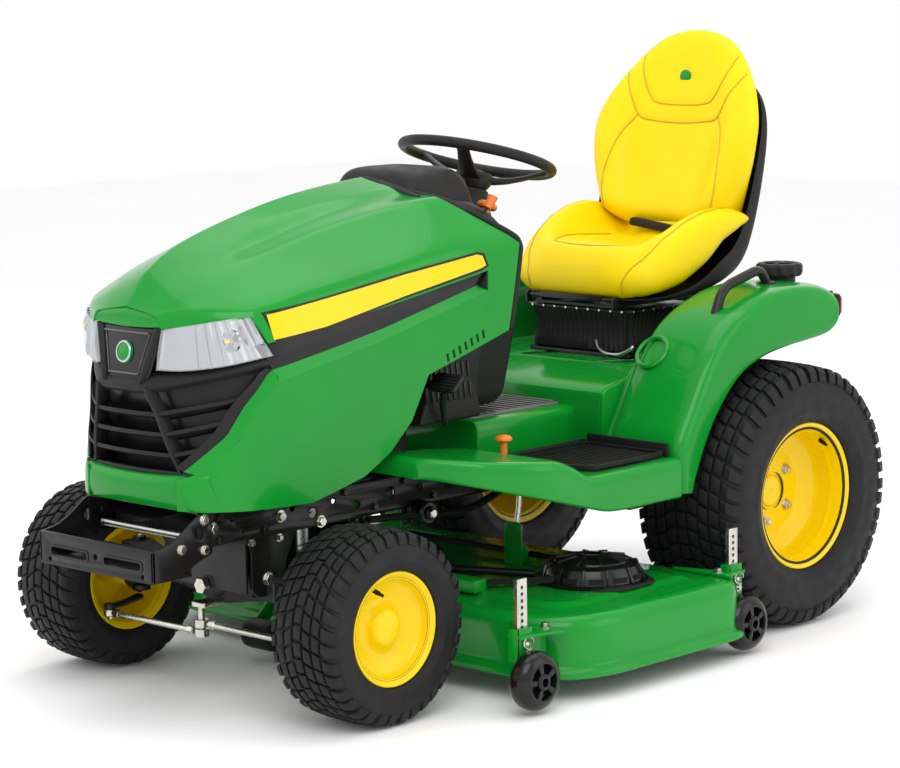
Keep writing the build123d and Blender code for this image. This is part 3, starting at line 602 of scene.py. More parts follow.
for side, sign in SIDES:
    for suffix, shape, material, options in SIDE_SHAPES:
        piece(f"{side}_{suffix}", shape.on_side(sign), material, "hood", **options)

# Grille ---------------------------------------------------------------------------------------

# Half plan of the grille's face by height: z, then centre y, rib (x, y) and rear edge (x, y).
GRILLE = [(508, -904, 137, -890, 160, -882), (518, -905, 133, -888, 168, -873),
          (546, -909, 122, -896, 188, -852), (583, -914, 110, -904, 206, -830),
          (640, -921, 91, -913, 231, -802), (690, -929, 74, -924, 252, -770),
          (745, -918, 84, -911, 268, -758)]
LEVELS = [(636, 34), (595, 30), (553, 22)]


def face_line(z, rise, steps=14, inset=0.0):
    """Line round the grille's left half at height z at the centre, rising towards the rear."""
    line = []
    for i in range(steps + 1):
        t = i / steps
        yc, xr, yr, xe, ye = spline_at(z, GRILLE)
        if t < 0.35:
            s = t / 0.35
            x, y, height = xr * s, yc + (yr - yc) * s * s, z
        else:
            s = (t - 0.35) / 0.65
            height = z + rise * s
            yc, xr, yr, xe, ye = spline_at(height, GRILLE)
            bow = 12 * math.sin(math.pi * s)
            x, y = xr + (xe - xr) * s + bow * 0.7, yr + (ye - yr) * s - bow * 0.6
        line.append(Vector((x, y + inset, height)))
    return line


def vane(z, rise, depth, high, inset=0.0, droop=0.0):
    """Curved slat across the whole grille face."""
    half = face_line(z, rise, inset=inset)
    line = [Vector((-p.x, p.y, p.z)) for p in half[:0:-1]] + half
    rows = []
    for p in line:
        back = Vector((-p.x * 0.0012 * depth, depth, 0))
        low = Vector((0, 0, -high / 2))
        rows.append([p - low, p + low, p + low + back * 0.4 + Vector((0, 0, -droop * 0.5)),
                     p + back + low - Vector((0, 0, droop)), p + back - low - Vector((0, 0, droop)),
                     p - low + back * 0.4 - Vector((0, 0, droop * 0.5))])
    return grid(rows, round_columns=True, caps=True)


slats = total(vane(z, rise, 40, 8.5, droop=13) for z, rise in LEVELS)
piece("grille_slats", slats, PLASTIC, "hood", ["front_grille"], bevel=1.2)

band_rows = []
half_low, half_high = face_line(688, 50), face_line(712, 40, inset=12)
for low, high in zip(half_low, half_high):
    under = low + Vector((0, 14, -13))
    band_rows.append([under, low + Vector((0, 1, -4)), low, low.lerp(high, 0.5) + Vector((0, 0, 1)),
                      high, high + Vector((0, 16, 4))])
band = grid(band_rows)
piece("grille_brow", band.both(), PLASTIC, "hood", levels=1, sharp=50)

rib_rows = []
for z in range(510, 692, 12):
    p = Vector((spline_at(z, GRILLE)[1], spline_at(z, GRILLE)[2] + 2, z))
    rib_rows.append([p + Vector(corner) for corner in ((-4.5, -4, 0), (4.5, -4, 0), (6.5, 26, 0),
                                                       (-6.5, 26, 0))])
ribs = [grid(rib_rows, round_columns=True, caps=True)]
edge_line = [Vector((spline_at(z, GRILLE)[3] - 4, spline_at(z, GRILLE)[4] + 1, z))
             for z in range(508, 742, 12)]
edge_rows = [[p + Vector((3, 0, 0)), p + Vector((-16, -8, 0)), p + Vector((-20, 14, 0)),
              p + Vector((0, 16, 0))] for p in edge_line]
ribs.append(grid(edge_rows, round_columns=True, caps=True))
piece("grille_ribs", total(ribs).both(), PLASTIC, "hood", bevel=1.5)

SCREEN_LEVELS = (508, 530, 560, 640, 700, 740)
screen_rows = [[p + Vector((0, 46, 0)) for p in face_line(z, 15)] for z in SCREEN_LEVELS]
piece("grille_screen", grid(screen_rows).both(), BLACK, "hood", thick=2)

sill_rows = []
for p in face_line(514, 0):
    sill_rows.append([p + Vector((0, 2, 5)), p + Vector((0, -1, 0)), p + Vector((0, 2, -6)),
                      p + Vector((0, 30, -4))])
piece("grille_sill", grid(sill_rows).both(), PLASTIC, "hood", levels=1, sharp=50)

# Crest between the lamps: a dark plate with a blank round badge in a raised frame.
crest_rows = []
for z in (704, 730, 760, 785, 808):
    lean = (808 - z) * 0.16
    narrowed = 0.72 + 0.28 * (z - 704) / 104
    across = [k * narrowed for k in (-104, -70, -35, 0, 35, 70, 104)]
    crest_rows.append([(x, -902 - lean + 0.0007 * x * x, z) for x in across])
piece("crest_plate", grid(crest_rows), GLOSS, "hood", levels=2, thick=3)


def crest_bar(top, low, wide_top, wide_low, out):
    """Raised bar down the crest plate."""
    rows = []
    for t in (0, 0.33, 0.66, 1):
        x, z = top[0] + (low[0] - top[0]) * t, top[1] + (low[1] - top[1]) * t
        y = -902 - (808 - z) * 0.16 + 0.0007 * x * x
        half = (wide_top + (wide_low - wide_top) * t) / 2
        rows.append([(x - half, y + 4, z), (x - half * 0.35, y - out, z),
                     (x + half * 0.35, y - out, z), (x + half, y + 4, z)])
    return grid(rows, round_columns=True, caps=True)


pillars = crest_bar((90, 810), (56, 698), 26, 16, 8)
piece("crest_pillars", pillars.both(), PLASTIC, "hood", bevel=2)
frame_bars = [crest_bar((68, 797), (45, 715), 3, 3, 2.5),
              crest_bar((-68, 797), (-45, 715), 3, 3, 2.5)]
frame_bars.append(slab(-68, 68, -906.5, -903, 796, 799))
frame_bars.append(slab(-45, 45, -920, -916, 713.5, 716.5))
piece("crest_frame", total(frame_bars), GREY, "hood", slot="black_plastic", bevel=0.6)
badge = lathe([(-4, 0.01), (-4, 21), (-3, 23), (0, 24), (6, 24)], "Y", (0, -911, 757), 48)
ring = lathe([(-5.2, 18.5), (-5.2, 22), (-4.2, 23), (-3.4, 23), (-3.4, 18.5)], "Y", (0, -911, 757),
             48, closed=True)
piece("badge_disc", badge.turned("X", -9, (0, -911, 757)), GREEN, "hood")
piece("badge_ring", ring.turned("X", -9, (0, -911, 757)), SHADED_CHROME, "hood",
      slot="gloss_black_plastic")

# Lamps ----------------------------------------------------------------------------------------

LENS_TOP = [(101, -899, 808), (150, -881, 816), (201, -846, 826), (241, -785, 835)]
LENS_LOW = [(91, -908, 725), (152, -885, 726), (221, -836, 736), (272, -753, 753)]


def lamp_grid(inward, steps=40, columns=10, flute=0.0, shrink=0.0):
    top, low = smooth_line(LENS_TOP, 14), smooth_line(LENS_LOW, 14)
    rows = []
    for i in range(steps + 1):
        t = shrink + (1 - 2 * shrink) * i / steps
        a, b = Vector(along(top, t)), Vector(along(low, t))
        row = []
        for j in range(columns + 1):
            s = shrink + (1 - 2 * shrink) * j / columns
            p = a.lerp(b, s)
            bow = math.sin(math.pi * s)
            ripple = flute * math.sin(t * 62) * eased((t - 0.36) / 0.08)
            depth = inward + ripple - 5 * bow + inward * 0.9 * bow
            row.append(p + Vector((-0.55, 0.8, 0)) * depth)
        rows.append(row)
    return grid(rows)


LENS = finish("lens_clear", (0.93, 0.95, 0.97), 0.97, 0.04, 0.02, coat=1.0, wave=(60, 0.05))
LENS.node_tree.nodes["Principled BSDF"].inputs["Alpha"].default_value = 0.16
LAMP_SPOT = Vector((222, -822, 786))
lamp_bulb = lathe([(-12, 0.01), (-12, 5), (-2, 6), (2, 4), (12, 4), (15, 0.01)], "Y", LAMP_SPOT, 20)
lamp_cup = lathe([(0, 10), (4, 15), (5, 19), (3, 21), (8, 22)], "Y", LAMP_SPOT, 32)
lamp_bowl = lamp_grid(7, 160, 12, flute=3.4, shrink=0.02)
# The bowls and bulb cups take the darkened chrome, which paints their shade.
LAMP_SHAPES = [
    ("lens", lamp_grid(0), LENS, None, {"thick": 2}),
    ("lamp_bowl", lamp_bowl, SHADED_CHROME, "gloss_black_plastic", {"sharp": 60}),
    ("bulb", lamp_bulb, BULB, "lens_clear", {}),
    ("bulb_cup", lamp_cup, SHADED_CHROME, "gloss_black_plastic", {}),
]
for side, sign in SIDES:
    for suffix, shape, material, slot, options in LAMP_SHAPES:
        stands = ["headlight_lenses"] if (side, suffix) == ("left", "lens") else ()
        piece(f"{side}_{suffix}", shape.on_side(sign), material, "hood", stands, slot, **options)


# Wheels ---------------------------------------------------------------------------------------

# Tyre outlines from the bead to the middle of the tread: (distance from the tyre's middle, radius).
FRONT_WALL = [(70, 102), (73, 112), (76, 119.5), (81, 121), (84, 126), (87.5, 138), (88.3, 141),
              (87.6, 144), (88.8, 156), (87.6, 168), (84, 179), (77, 187), (66, 191), (40, 193),
              (0, 194)]
REAR_WALL = [(117, 153), (120, 163), (122, 171), (129, 173), (134, 180), (141, 198), (142.4, 203),
             (141.4, 207), (143.8, 228), (142, 252), (136, 271), (125, 285), (108, 291), (70, 294),
             (0, 295)]


def wheel_point(along_axle, radius, angle):
    return Vector((along_axle, -radius * math.sin(angle), radius * math.cos(angle)))


def tread(radius, half, wall_radius, rows, edges, lug_from, lean, drop_off, lug_reach):
    """Turf tread: slanting blocks in columns, with a lug on each shoulder of every row."""
    step = math.tau / rows
    long = step * 0.8

    def top(a):
        return radius - drop_off * abs(a / half) ** 2.4

    blocks = []
    for i in range(rows):
        for c, (low, high) in enumerate(zip(edges, edges[1:])):
            a0, a1 = low + 2.2, high - 2.2
            start = step * i + (0.14 * step if c % 2 else 0)
            points = []
            for k, (share, sunk) in enumerate(((0, 1.2), (0.12, 0), (0.88, 0), (1, 1.2))):
                row = []
                for a, r in ((a0, wall_radius - 2), (a0 + 1, top(a0) - sunk - 0.6),
                             (a0 + 2.4, top(a0) - sunk), (a1 - 2.4, top(a1) - sunk),
                             (a1 - 1, top(a1) - sunk - 0.6), (a1, wall_radius - 2)):
                    row.append(wheel_point(a, r, start + long * share + lean * abs(a) / half))
                points.append(row)
            blocks.append(grid(points, round_columns=True, caps=True))
        for side in (-1, 1):
            lug = []
            for share, sunk in ((0.04, 1.5), (0.16, 0), (0.72, 0), (0.86, 1.5)):
                row = []
                for a, r in ((lug_from + 2, wall_radius - 3),
                             (lug_from + 3, top(lug_from) - 0.8 - sunk),
                             (half * 0.86, top(half * 0.86) - sunk),
                             (half * 0.945, radius - drop_off - lug_reach * 0.3),
                             (half * 0.994, radius - drop_off - lug_reach),
                             (half * 0.93, radius - drop_off - lug_reach - 8),
                             (half * 0.84, radius - drop_off - lug_reach * 0.7)):
                    turn = step * (i + (0.07 if i % 2 else 0)) + long * share + lean * abs(a) / half
                    row.append(wheel_point(side * a, r, turn))
                lug.append(row)
            blocks.append(grid(lug, round_columns=True, caps=True))
    return total(blocks)


def tyre_body(wall, bead_back):
    profile = [(-a, r) for a, r in wall] + [(a, r) for a, r in wall[-2::-1]]
    inner = [(wall[0][0] - 12, bead_back), (0, bead_back + 30), (-wall[0][0] + 12, bead_back)]
    return lathe(profile + inner, "X", (0, 0, 0), 120, closed=True)


FRONT_EDGES = [-62, -38, -13, 13, 38, 62]
REAR_EDGES = [-106, -76, -46, -15, 15, 46, 76, 106]
front_tread = tread(202, 89, 194, 36, FRONT_EDGES, 62, 0.2, 7, 20)
rear_tread = tread(304, 144, 295, 48, REAR_EDGES, 106, 0.2, 9, 27)
front_body, rear_body = tyre_body(FRONT_WALL, 104), tyre_body(REAR_WALL, 155)
ticks = []
for k in range(90):
    angle = math.tau * k / 90
    if k % 30 > 21:
        continue
    ticks.append(grid([[wheel_point(86.3 + out, r, angle + d) for d in (-0.008, 0.008)]
                       for r, out in ((131, -2.5), (133, 0), (139, 1.6), (141, 0.2))]))

FRONT_RIM = [(71, 119), (76, 119), (78.5, 116.5), (77.8, 113.4), (74, 110), (70, 104.5), (61, 101),
             (54, 98.4), (49, 93), (45.5, 86), (41, 76), (36, 67), (33.6, 60), (34, 54), (37, 47),
             (43.5, 42), (53, 38), (58, 33), (60.5, 24), (61.5, 10), (61.7, 0.01), (30, 0.01),
             (30, 9.6), (-70, 9.6), (-70, 22), (26, 22), (29, 42), (27, 58), (30, 69), (37, 86),
             (41, 93), (37, 96.6), (-63, 97), (-72, 104), (-77.3, 113), (-78.5, 117), (-76, 119),
             (-71, 119), (-71, 102), (71, 102)]
REAR_RIM = [(116, 170), (122, 170), (124.5, 167.5), (123.6, 163.4), (119, 159.6), (114, 154),
            (104, 151.6), (92, 150.4), (84, 147.6), (76, 148.6), (50, 146.4), (39, 142), (33, 133),
            (28, 119), (24.5, 108), (21.5, 100), (21, 92), (21, 54), (22.5, 50), (23, 46), (19, 43),
            (19, 38), (25, 36), (27, 30), (27.6, 0.01), (-98, 0.01), (-98, 16), (-18, 16),
            (-18, 50), (8, 52), (9, 94), (12, 106), (16, 120), (21, 136), (26, 143.5), (-108, 147),
            (-118, 156), (-123, 163), (-124.5, 167), (-122, 170), (-117, 170), (-117, 153),
            (116, 153)]


def softened(profile, reach=2.2):
    """Break every corner of a turned profile."""
    return rounded(profile, reach, 2)


def hexagon(radius, high, rim=1.2):
    """Bolt head with its washer face, along +X from 0."""
    rows = []
    for a, r in ((0, radius * 0.01), (0, radius), (high - rim, radius), (high, radius * 0.86),
                 (high, 0.01)):
        rows.append([(a, r * math.cos(math.tau * k / 6), r * math.sin(math.tau * k / 6))
                     for k in range(6)])
    washer = lathe([(-1.5, 0.01), (-1.5, radius * 1.3), (0.4, radius * 1.3), (0.4, 0.01)], "X",
                   (0, 0, 0), 24)
    return grid(rows, round_columns=True) + washer


def valve(a, radius, angle, long):
    foot, tip = Vector((a, 0, radius)), Vector((a + long, 0, radius - long * 0.45))
    stem = tube([foot, foot.lerp(tip, 0.5), foot.lerp(tip, 0.62), foot.lerp(tip, 0.64), tip],
                lambda t: 5 if t < 0.6 else 3.6, 12)
    return stem.turned("X", angle)


def set_wheel(name, shapes, centre, sign, body, stands_for):
    """Put a wheel's shapes in place; the first of them stands for the CAD node."""
    for suffix, shape, material, options in shapes:
        piece(f"{name}_{suffix}", shape.on_side(sign).moved(*centre), material, body, stands_for,
              **options)
        stands_for = ()


lug_bolts = []
for k in range(5):
    turn = 20 + 72 * k
    lug_bolts.append(hexagon(10.5, 9).moved(21.5, 0, 72).turned("X", turn))
    lug_bolts.append(bar("X", (0, 0, 72), 6, 28, 37, 1).turned("X", turn))
crescents = []
for start in (20, 200):
    arc = []
    for k in range(13):
        angle = math.radians(start + 140 * k / 12)
        wide = 3.6 * math.sin(math.pi * k / 12) + 0.4
        arc.append([wheel_point(22.9, 45.5 + wide, angle), wheel_point(22.9, 45.5 - wide, angle)])
    crescents.append(grid(arc))
slot_hole = grid([[wheel_point(21.8, 86 + r, 1.2 + d) for d in (-0.03, 0.03)] for r in (-7, 7)])

front_shapes = [
    ("tyre", front_body, TYRE, {"sharp": 40}),
    ("tread", front_tread, TYRE, {"sharp": 24, "weld": False}),
    ("marks", total(ticks), TYRE, {}),
    ("valve", valve(60, 99, 28, 26), RUBBER, {}),
]
rear_shapes = [
    ("tyre", rear_body, TYRE, {"sharp": 40}),
    ("tread", rear_tread, TYRE, {"sharp": 24, "weld": False}),
    ("lug_bolts", total(lug_bolts), ZINC, {"sharp": 25}),
    ("crescents", total(crescents) + slot_hole, BLACK, {}),
    ("valve", valve(96, 147, -38, 24), RUBBER, {}),
]
front_rim_shape = lathe(softened(FRONT_RIM), "X", (0, 0, 0), 96, closed=True)
rear_rim_shape = lathe(softened(REAR_RIM), "X", (0, 0, 0), 96, closed=True)
for side, sign in SIDES:
    for end, shapes, rim_shape in (("front", front_shapes, front_rim_shape),
                                   ("rear", rear_shapes, rear_rim_shape)):
        centre = drawn(middle(f"{side}_{end}_tyre"))
        body = f"{side}_{end}_wheel"
        set_wheel(f"{side}_{end}", shapes, centre, sign, body, [f"{side}_{end}_tyre"])
        piece(f"{side}_{end}_rim_dish", rim_shape.on_side(sign).moved(*centre), YELLOW, body,
              [f"{side}_{end}_rim"], sharp=50)

# Gauge wheels: glossy moulded wheels with five webs between rim and hub.
GAUGE = [(-28, 9), (-28, 16), (-12, 18), (-12, 36), (-27, 38), (-28, 41), (-26, 47), (-21, 55),
         (-13, 60.6), (-6, 62), (6, 62), (13, 60.6), (21, 55), (26, 47), (28, 41), (27, 38),
         (12, 36), (12, 20), (26, 18), (29, 16), (30, 12), (30, 9)]
gauge_body = lathe(softened(GAUGE, 1.6), "X", (0, 0, 0), 72, closed=True)
webs = []
for k in range(5):
    web = [prism([(-4.5, 15), (4.5, 15), (7, 39), (-7, 39)], "X", low, low + 18)
           for low in (8, -26)]
    webs.append(total(web).turned("X", 72 * k + 14))
gauge_shapes = [("wheel", gauge_body, GLOSS, {"sharp": 45}),
                ("webs", total(webs), GLOSS, {"bevel": 1.5})]
for side, sign in SIDES:
    for end in ("front", "rear"):
        node = f"{side}_{end}_gauge_wheel"
        centre = drawn(middle(node))
        set_wheel(f"{side}_{end}_gauge", gauge_shapes, centre, sign, f"{side}_{end}_gauge", [node])

# Steering wheel -------------------------------------------------------------------------------

WHEEL_CENTRE = (0, 144, 1089)
COLUMN_TILT = -16.7


def on_column(shape):
    """Place a shape built about the steering wheel's centre, with its axle up."""
    return shape.turned("X", COLUMN_TILT).moved(*WHEEL_CENTRE)


ring = []
for k in range(20):
    angle = math.tau * k / 20
    ring.append((12.6 * math.sin(angle) * (0.94 if math.sin(angle) > 0 else 1),
                 171 + 12.2 * math.cos(angle)))
piece("steering_ring", on_column(lathe(ring, "Z", (0, 0, 0), 120, closed=True)), PLASTIC,
      "steering", ["steering_wheel"])
spokes = []
for angle in (180, 300, 60):
    rows = []
    for r, z, wide, deep in ((24, -46, 24, 12), (48, -46, 25, 11), (80, -38, 20, 9),
                             (115, -24, 16, 8), (142, -11, 14, 8), (158, -3, 15, 9),
                             (170, 0, 18, 8)):
        crown_up = deep * 0.35
        rows.append([(r, -wide, z - deep / 2), (r, -wide, z + deep / 2),
                     (r, -wide * 0.45, z + deep / 2 + crown_up),
                     (r, wide * 0.45, z + deep / 2 + crown_up), (r, wide, z + deep / 2),
                     (r, wide, z - deep / 2), (r, 0, z - deep / 2 - 3)])
    spokes.append(grid(rows, round_columns=True, caps=True).turned("Z", angle))
piece("steering_spokes", on_column(total(spokes)), PLASTIC, "steering", bevel=2, segments=3)
HUB = [(-70, 0.01), (-70, 34), (-60, 41), (-46, 43), (-38, 41), (-34, 38), (-34, 34), (-35, 33),
       (-33, 31), (-29, 18), (-28, 0.01)]
piece("steering_hub", on_column(lathe(HUB, "Z", (0, 0, 0), 64)), PLASTIC, "steering", sharp=30)

# Seat -----------------------------------------------------------------------------------------

# Backrest by height: z, half width, depth y of the widest line, y of the padding's middle, bolster.
BACK = [(872, 154, 866, 772, 10), (900, 186, 869, 782, 20), (935, 208, 861, 792, 30),
        (1020, 237, 842, 827, 40), (1100, 249, 843, 850, 36), (1150, 246, 857, 864, 28),
        (1197, 230, 878, 876, 18), (1240, 204, 899, 888, 8), (1295, 157, 926, 904, 0),
        (1333, 108, 940, 918, 0), (1352, 52, 944, 930, 0)]


def back_edge(turn):
    """Outline of the backrest seen from the front, as (x, z), for a turn from 0 to 1 round it."""
    points = [(0, 872), (100, 873)] + [(row[1], row[0]) for row in BACK[1:]] + [(0, 1357)]
    loop = points + [(-x, z) for x, z in points[-2:0:-1]]
    return smooth_loop(loop, turn)


def smooth_loop(points, turn):
    """Catmull-Rom point at a share of the way round a closed outline."""
    count = len(points)
    place = turn * count
    i, t = int(place), place - int(place)
    a, b, c, d = [Vector(points[(i + k) % count]) for k in (-1, 0, 1, 2)]
    return 0.5 * (2 * b + (c - a) * t + (2 * a - 5 * b + 4 * c - d) * t * t
                  + (3 * b - a - 3 * c + d) * t ** 3)


def back_front(x, z):
    """Depth y of the backrest's face."""
    half, _, mid_y, bolster = spline_at(min(max(z, 873), 1351), BACK)
    r = abs(x) / max(half, 60)
    wing = eased((r - 0.42) / 0.34)
    dish = 5 * (1 - min(r / 0.5, 1) ** 2)
    return mid_y + dish - bolster * wing


def pillow(edge, middle_point, top, side, under, rings=26, around=120, start=0.72):
    """Closed padded form: rings from the middle of its face to its edge, and in again behind."""
    rows = []
    for k in range(1, rings + 1):
        s = k / rings
        row = []
        for j in range(around):
            u, v = Vector(middle_point).lerp(edge(j / around), s)
            face, rim = top(u, v), side(v)
            t = max(0.0, (s - start) / (1 - start))
            row.append((u, v, rim + (face - rim) * math.sqrt(max(0.0, 1 - t * t))))
        rows.append(row)
    for s in (0.985, 0.95, 0.88, 0.7, 0.4, 0.08):
        row = []
        for j in range(around):
            u, v = Vector(middle_point).lerp(edge(j / around), s)
            behind, rim = under(u, v), side(v)
            t = min(1.0, (1 - s) / 0.14)
            row.append((u, v, rim + (behind - rim) * math.sqrt(max(0.0, 1 - (1 - t) ** 2))))
        rows.append(row)
    return rows


def back_side(z):
    """Depth y of the backrest's widest line."""
    return spline_at(min(max(z, 873), 1351), BACK)[1]


def back_rear(x, z):
    half = spline_at(min(max(z, 873), 1351), BACK)[0]
    rear = between(z, [(872, 852), (930, 870), (1040, 894), (1180, 913), (1260, 938), (1357, 952)])
    return rear - 22 * min(1, abs(x) / half) ** 2


back_rows = pillow(back_edge, (0, 1110), back_front, back_side, back_rear)
backrest = grid([[(x, y, z) for x, z, y in row] for row in back_rows], round_columns=True,
                caps=True)

# Cushion outline in plan, with the height of its widest line.
CUSHION = [(0, 461), (90, 463), (150, 472), (196, 496), (226, 538), (241, 600), (247, 680),
           (248, 750), (246, 810), (228, 852), (160, 852), (100, 822), (0, 800)]
CUSHION_LOOP = CUSHION + [(-x, y) for x, y in CUSHION[-2:0:-1]]
CREST = [(462, 812), (500, 842), (560, 892), (625, 928), (692, 948), (760, 950), (812, 940),
         (852, 926)]
RIM_HEIGHT = [(461, 786), (530, 794), (604, 814), (685, 852), (740, 892), (812, 914), (852, 914)]
LOW_SIDE = [(461, 744), (531, 754), (604, 774), (685, 816), (740, 862), (812, 892), (852, 902)]


def cushion_top(x, y):
    centre_height = between(y, [(461, 838), (490, 856), (520, 865), (600, 862), (680, 858),
                                (745, 862), (812, 866)])
    crest = between(y, CREST)
    half = between(y, [(461, 150), (496, 196), (538, 226), (600, 241), (812, 246)])
    r = abs(x) / half
    wing = eased((r - 0.5) / 0.36)
    hollow = 4 * eased((y - 540) / 60) * (1 - min(r / 0.55, 1) ** 2)
    return centre_height - hollow + (crest - centre_height) * wing


def cushion_side(y):
    """Height of the cushion's widest line."""
    return between(y, RIM_HEIGHT)


def cushion_under(x, y):
    pan = between(y, [(461, 740), (690, 750), (750, 766), (806, 790), (852, 826)])
    return max(pan, between(y, LOW_SIDE) - 4) if abs(x) > 150 else max(740, pan)


cushion_rows = pillow(lambda t: smooth_loop(CUSHION_LOOP, t), (0, 640), cushion_top, cushion_side,
                      cushion_under, start=0.7)
cushion = grid(cushion_rows, round_columns=True, caps=True)


SEAM_REACH, SEAM_DEPTH, SEAM_WIDTH = 0.02, 0.003, 0.0065
BEAD_SUNK, BEAD_RADIUS = 0.0016, 1.5


def seamed(name, shape, lines, stands_for):
    """Padded piece: smoothed, drawn in along its seams and closed by a sewn bead along each."""
    obj = piece(name, shape, VINYL, "seat", stands_for, levels=1, sharp=180)
    mesh = obj.data
    drawn_lines = [[at(p) for p in smooth_line(line, 8)] for line in lines]
    tree = BVHTree.FromPolygons([v.co for v in mesh.vertices], [p.vertices for p in mesh.polygons])
    stuck = []
    for line in drawn_lines:
        run = []
        for p in line:
            place, normal, _, _ = tree.find_nearest(p)
            run.append((place, normal))
        stuck.append(run)
    finder = KDTree(sum(len(run) for run in stuck))
    index = 0
    for run in stuck:
        for place, _ in run:
            finder.insert(place, index)
            index += 1
    finder.balance()
    for vertex in mesh.vertices:
        _, _, away = finder.find(vertex.co)
        if away < SEAM_REACH:
            vertex.co -= vertex.normal * SEAM_DEPTH * math.exp(-(away / SEAM_WIDTH) ** 2)
    beads = []
    for run in stuck:
        thread = [drawn(place - normal * BEAD_SUNK) for place, normal in run]
        beads.append(tube(thread, BEAD_RADIUS, 8))
    # The beads take the darker vinyl: painted shade along each seam.
    piece(f"{name}_seams", total(beads), SEAM_SHADE, "seat", slot="seat_vinyl")


def face_points(points):
    """Points on the backrest from (x, z)."""
    return [Vector((x, back_front(x, z), z)) for x, z in points]


inner_u = [(-150, 1305), (-128, 1250), (-98, 1196), (-72, 1180), (0, 1176), (72, 1180), (98, 1196),
           (128, 1250), (150, 1305)]
outer_u = [(-190, 1262), (-150, 1200), (-122, 1150), (-84, 1138), (0, 1133), (84, 1138),
           (122, 1150), (150, 1200), (190, 1262)]
down_left = [(-124, 1152), (-158, 1098), (-176, 1010), (-178, 920)]
back_lines = [face_points(line) for line in (inner_u, outer_u, down_left,
                                             [(-x, z) for x, z in down_left])]
seamed("seat_back_pad", backrest, back_lines, ["seat_backrest"])

PANEL = [(-128, 760), (-140, 680), (-142, 600), (-120, 540), (-60, 518), (0, 514), (60, 518),
         (120, 540), (142, 600), (140, 680), (128, 760)]
panel_seam = [Vector((x, y, cushion_top(x, y))) for x, y in PANEL]


def side_seam(side):
    lower = [Vector((side * 150, 462, 742)), Vector((side * 152, 452, 780)),
             Vector((side * 165, 470, 826))]
    edge = ((186, 512), (203, 570), (212, 640), (214, 710), (208, 780))
    upper = [Vector((side * x, y, cushion_top(x, y))) for x, y in edge]
    return lower + upper


seamed("seat_cushion_pad", cushion, [panel_seam, side_seam(1), side_seam(-1)], ["seat_cushion"])

PATCH = ((0.01, 1.0), (15, 1.0), (17, 0.2), (17.5, -1))
patch, patch_y = [], back_front(0, 1243) - 1.2
for k in range(33):
    angle = math.tau * k / 32
    patch.append([Vector((r * math.cos(angle), patch_y - out, 1243 + r * math.sin(angle)))
                  for r, out in PATCH])
piece("seat_badge", grid(patch), GREEN, "seat")

# Black moulded shell behind and below the padding: y, z, half width, flange, lean of its normal.
SHELL = [(474, 742, 120, 3, 90), (492, 738, 160, 5, 90), (540, 737, 196, 8, 90),
         (620, 738, 214, 16, 92), (690, 744, 226, 36, 96), (750, 758, 230, 58, 108),
         (806, 778, 231, 66, 126), (850, 814, 231, 64, 146), (876, 872, 232, 54, 158),
         (894, 950, 238, 50, 168), (908, 1040, 243, 42, 172), (916, 1110, 243, 34, 174),
         (924, 1160, 232, 24, 176), (932, 1200, 208, 14, 177), (936, 1222, 180, 6, 177)]
shell_rows = []
for y, z, half, flange, lean in SHELL:
    normal = Vector((0, math.cos(math.radians(lean)), math.sin(math.radians(lean))))
    foot = Vector((0, y, z))
    row = []
    for share, rise in ((-1, 1), (-1.01, 0.6), (-1, 0.25), (-0.95, 0.06), (-0.8, 0), (-0.45, -0.05),
                        (0, -0.06), (0.45, -0.05), (0.8, 0), (0.95, 0.06), (1, 0.25), (1.01, 0.6),
                        (1, 1)):
        row.append(foot + Vector((half * share, 0, 0)) + normal * flange * rise)
    shell_rows.append(row)
piece("seat_back_shell", grid(shell_rows), PLASTIC, "seat", ["seat_shell"], levels=2, thick=5,
      sharp=50)
strap = prism(rounded([(-84, 886), (-78, 906), (66, 888), (76, 868)], 12), "Y", 774, 790)
piece("seat_gap_plate", strap, PLASTIC, "seat", bevel=3)
ribs_back = [slab(x - 3, x + 3, 916, 930, 960, 1140) for x in (-120, -40, 40, 120)]
piece("seat_shell_ribs", total(ribs_back), PLASTIC, "seat", bevel=2)
hinge_bar = bar("X", (0, 464, 741), 5, -140, 140) + slab(-96, 96, 458, 470, 737, 750)
piece("seat_hinge_pin", hinge_bar, BLACK, "seat", bevel=1)

# Suspension below the seat: a pleated boot between a base plate and a riveted upper flange.


def boot_loop(half_x, y0, y1, corner, pleat, count=64):
    outline = rounded(oblong(-half_x, half_x, y0, y1), corner, 8)
    lengths = [0.0]
    pts = [Vector(p) for p in outline] + [Vector(outline[0])]
    for a, b in zip(pts, pts[1:]):
        lengths.append(lengths[-1] + (b - a).length)
    loop = []
    steps = count * 4
    i = 0
    for k in range(steps):
        want = lengths[-1] * k / steps
        while lengths[i + 1] < want:
            i += 1
        t = (want - lengths[i]) / max(lengths[i + 1] - lengths[i], 1e-6)
        p = pts[i].lerp(pts[i + 1], t)
        normal = (pts[i + 1] - pts[i]).normalized()
        loop.append(p + Vector((normal.y, -normal.x)) * pleat * math.sin(math.tau * k / 4))
    return loop


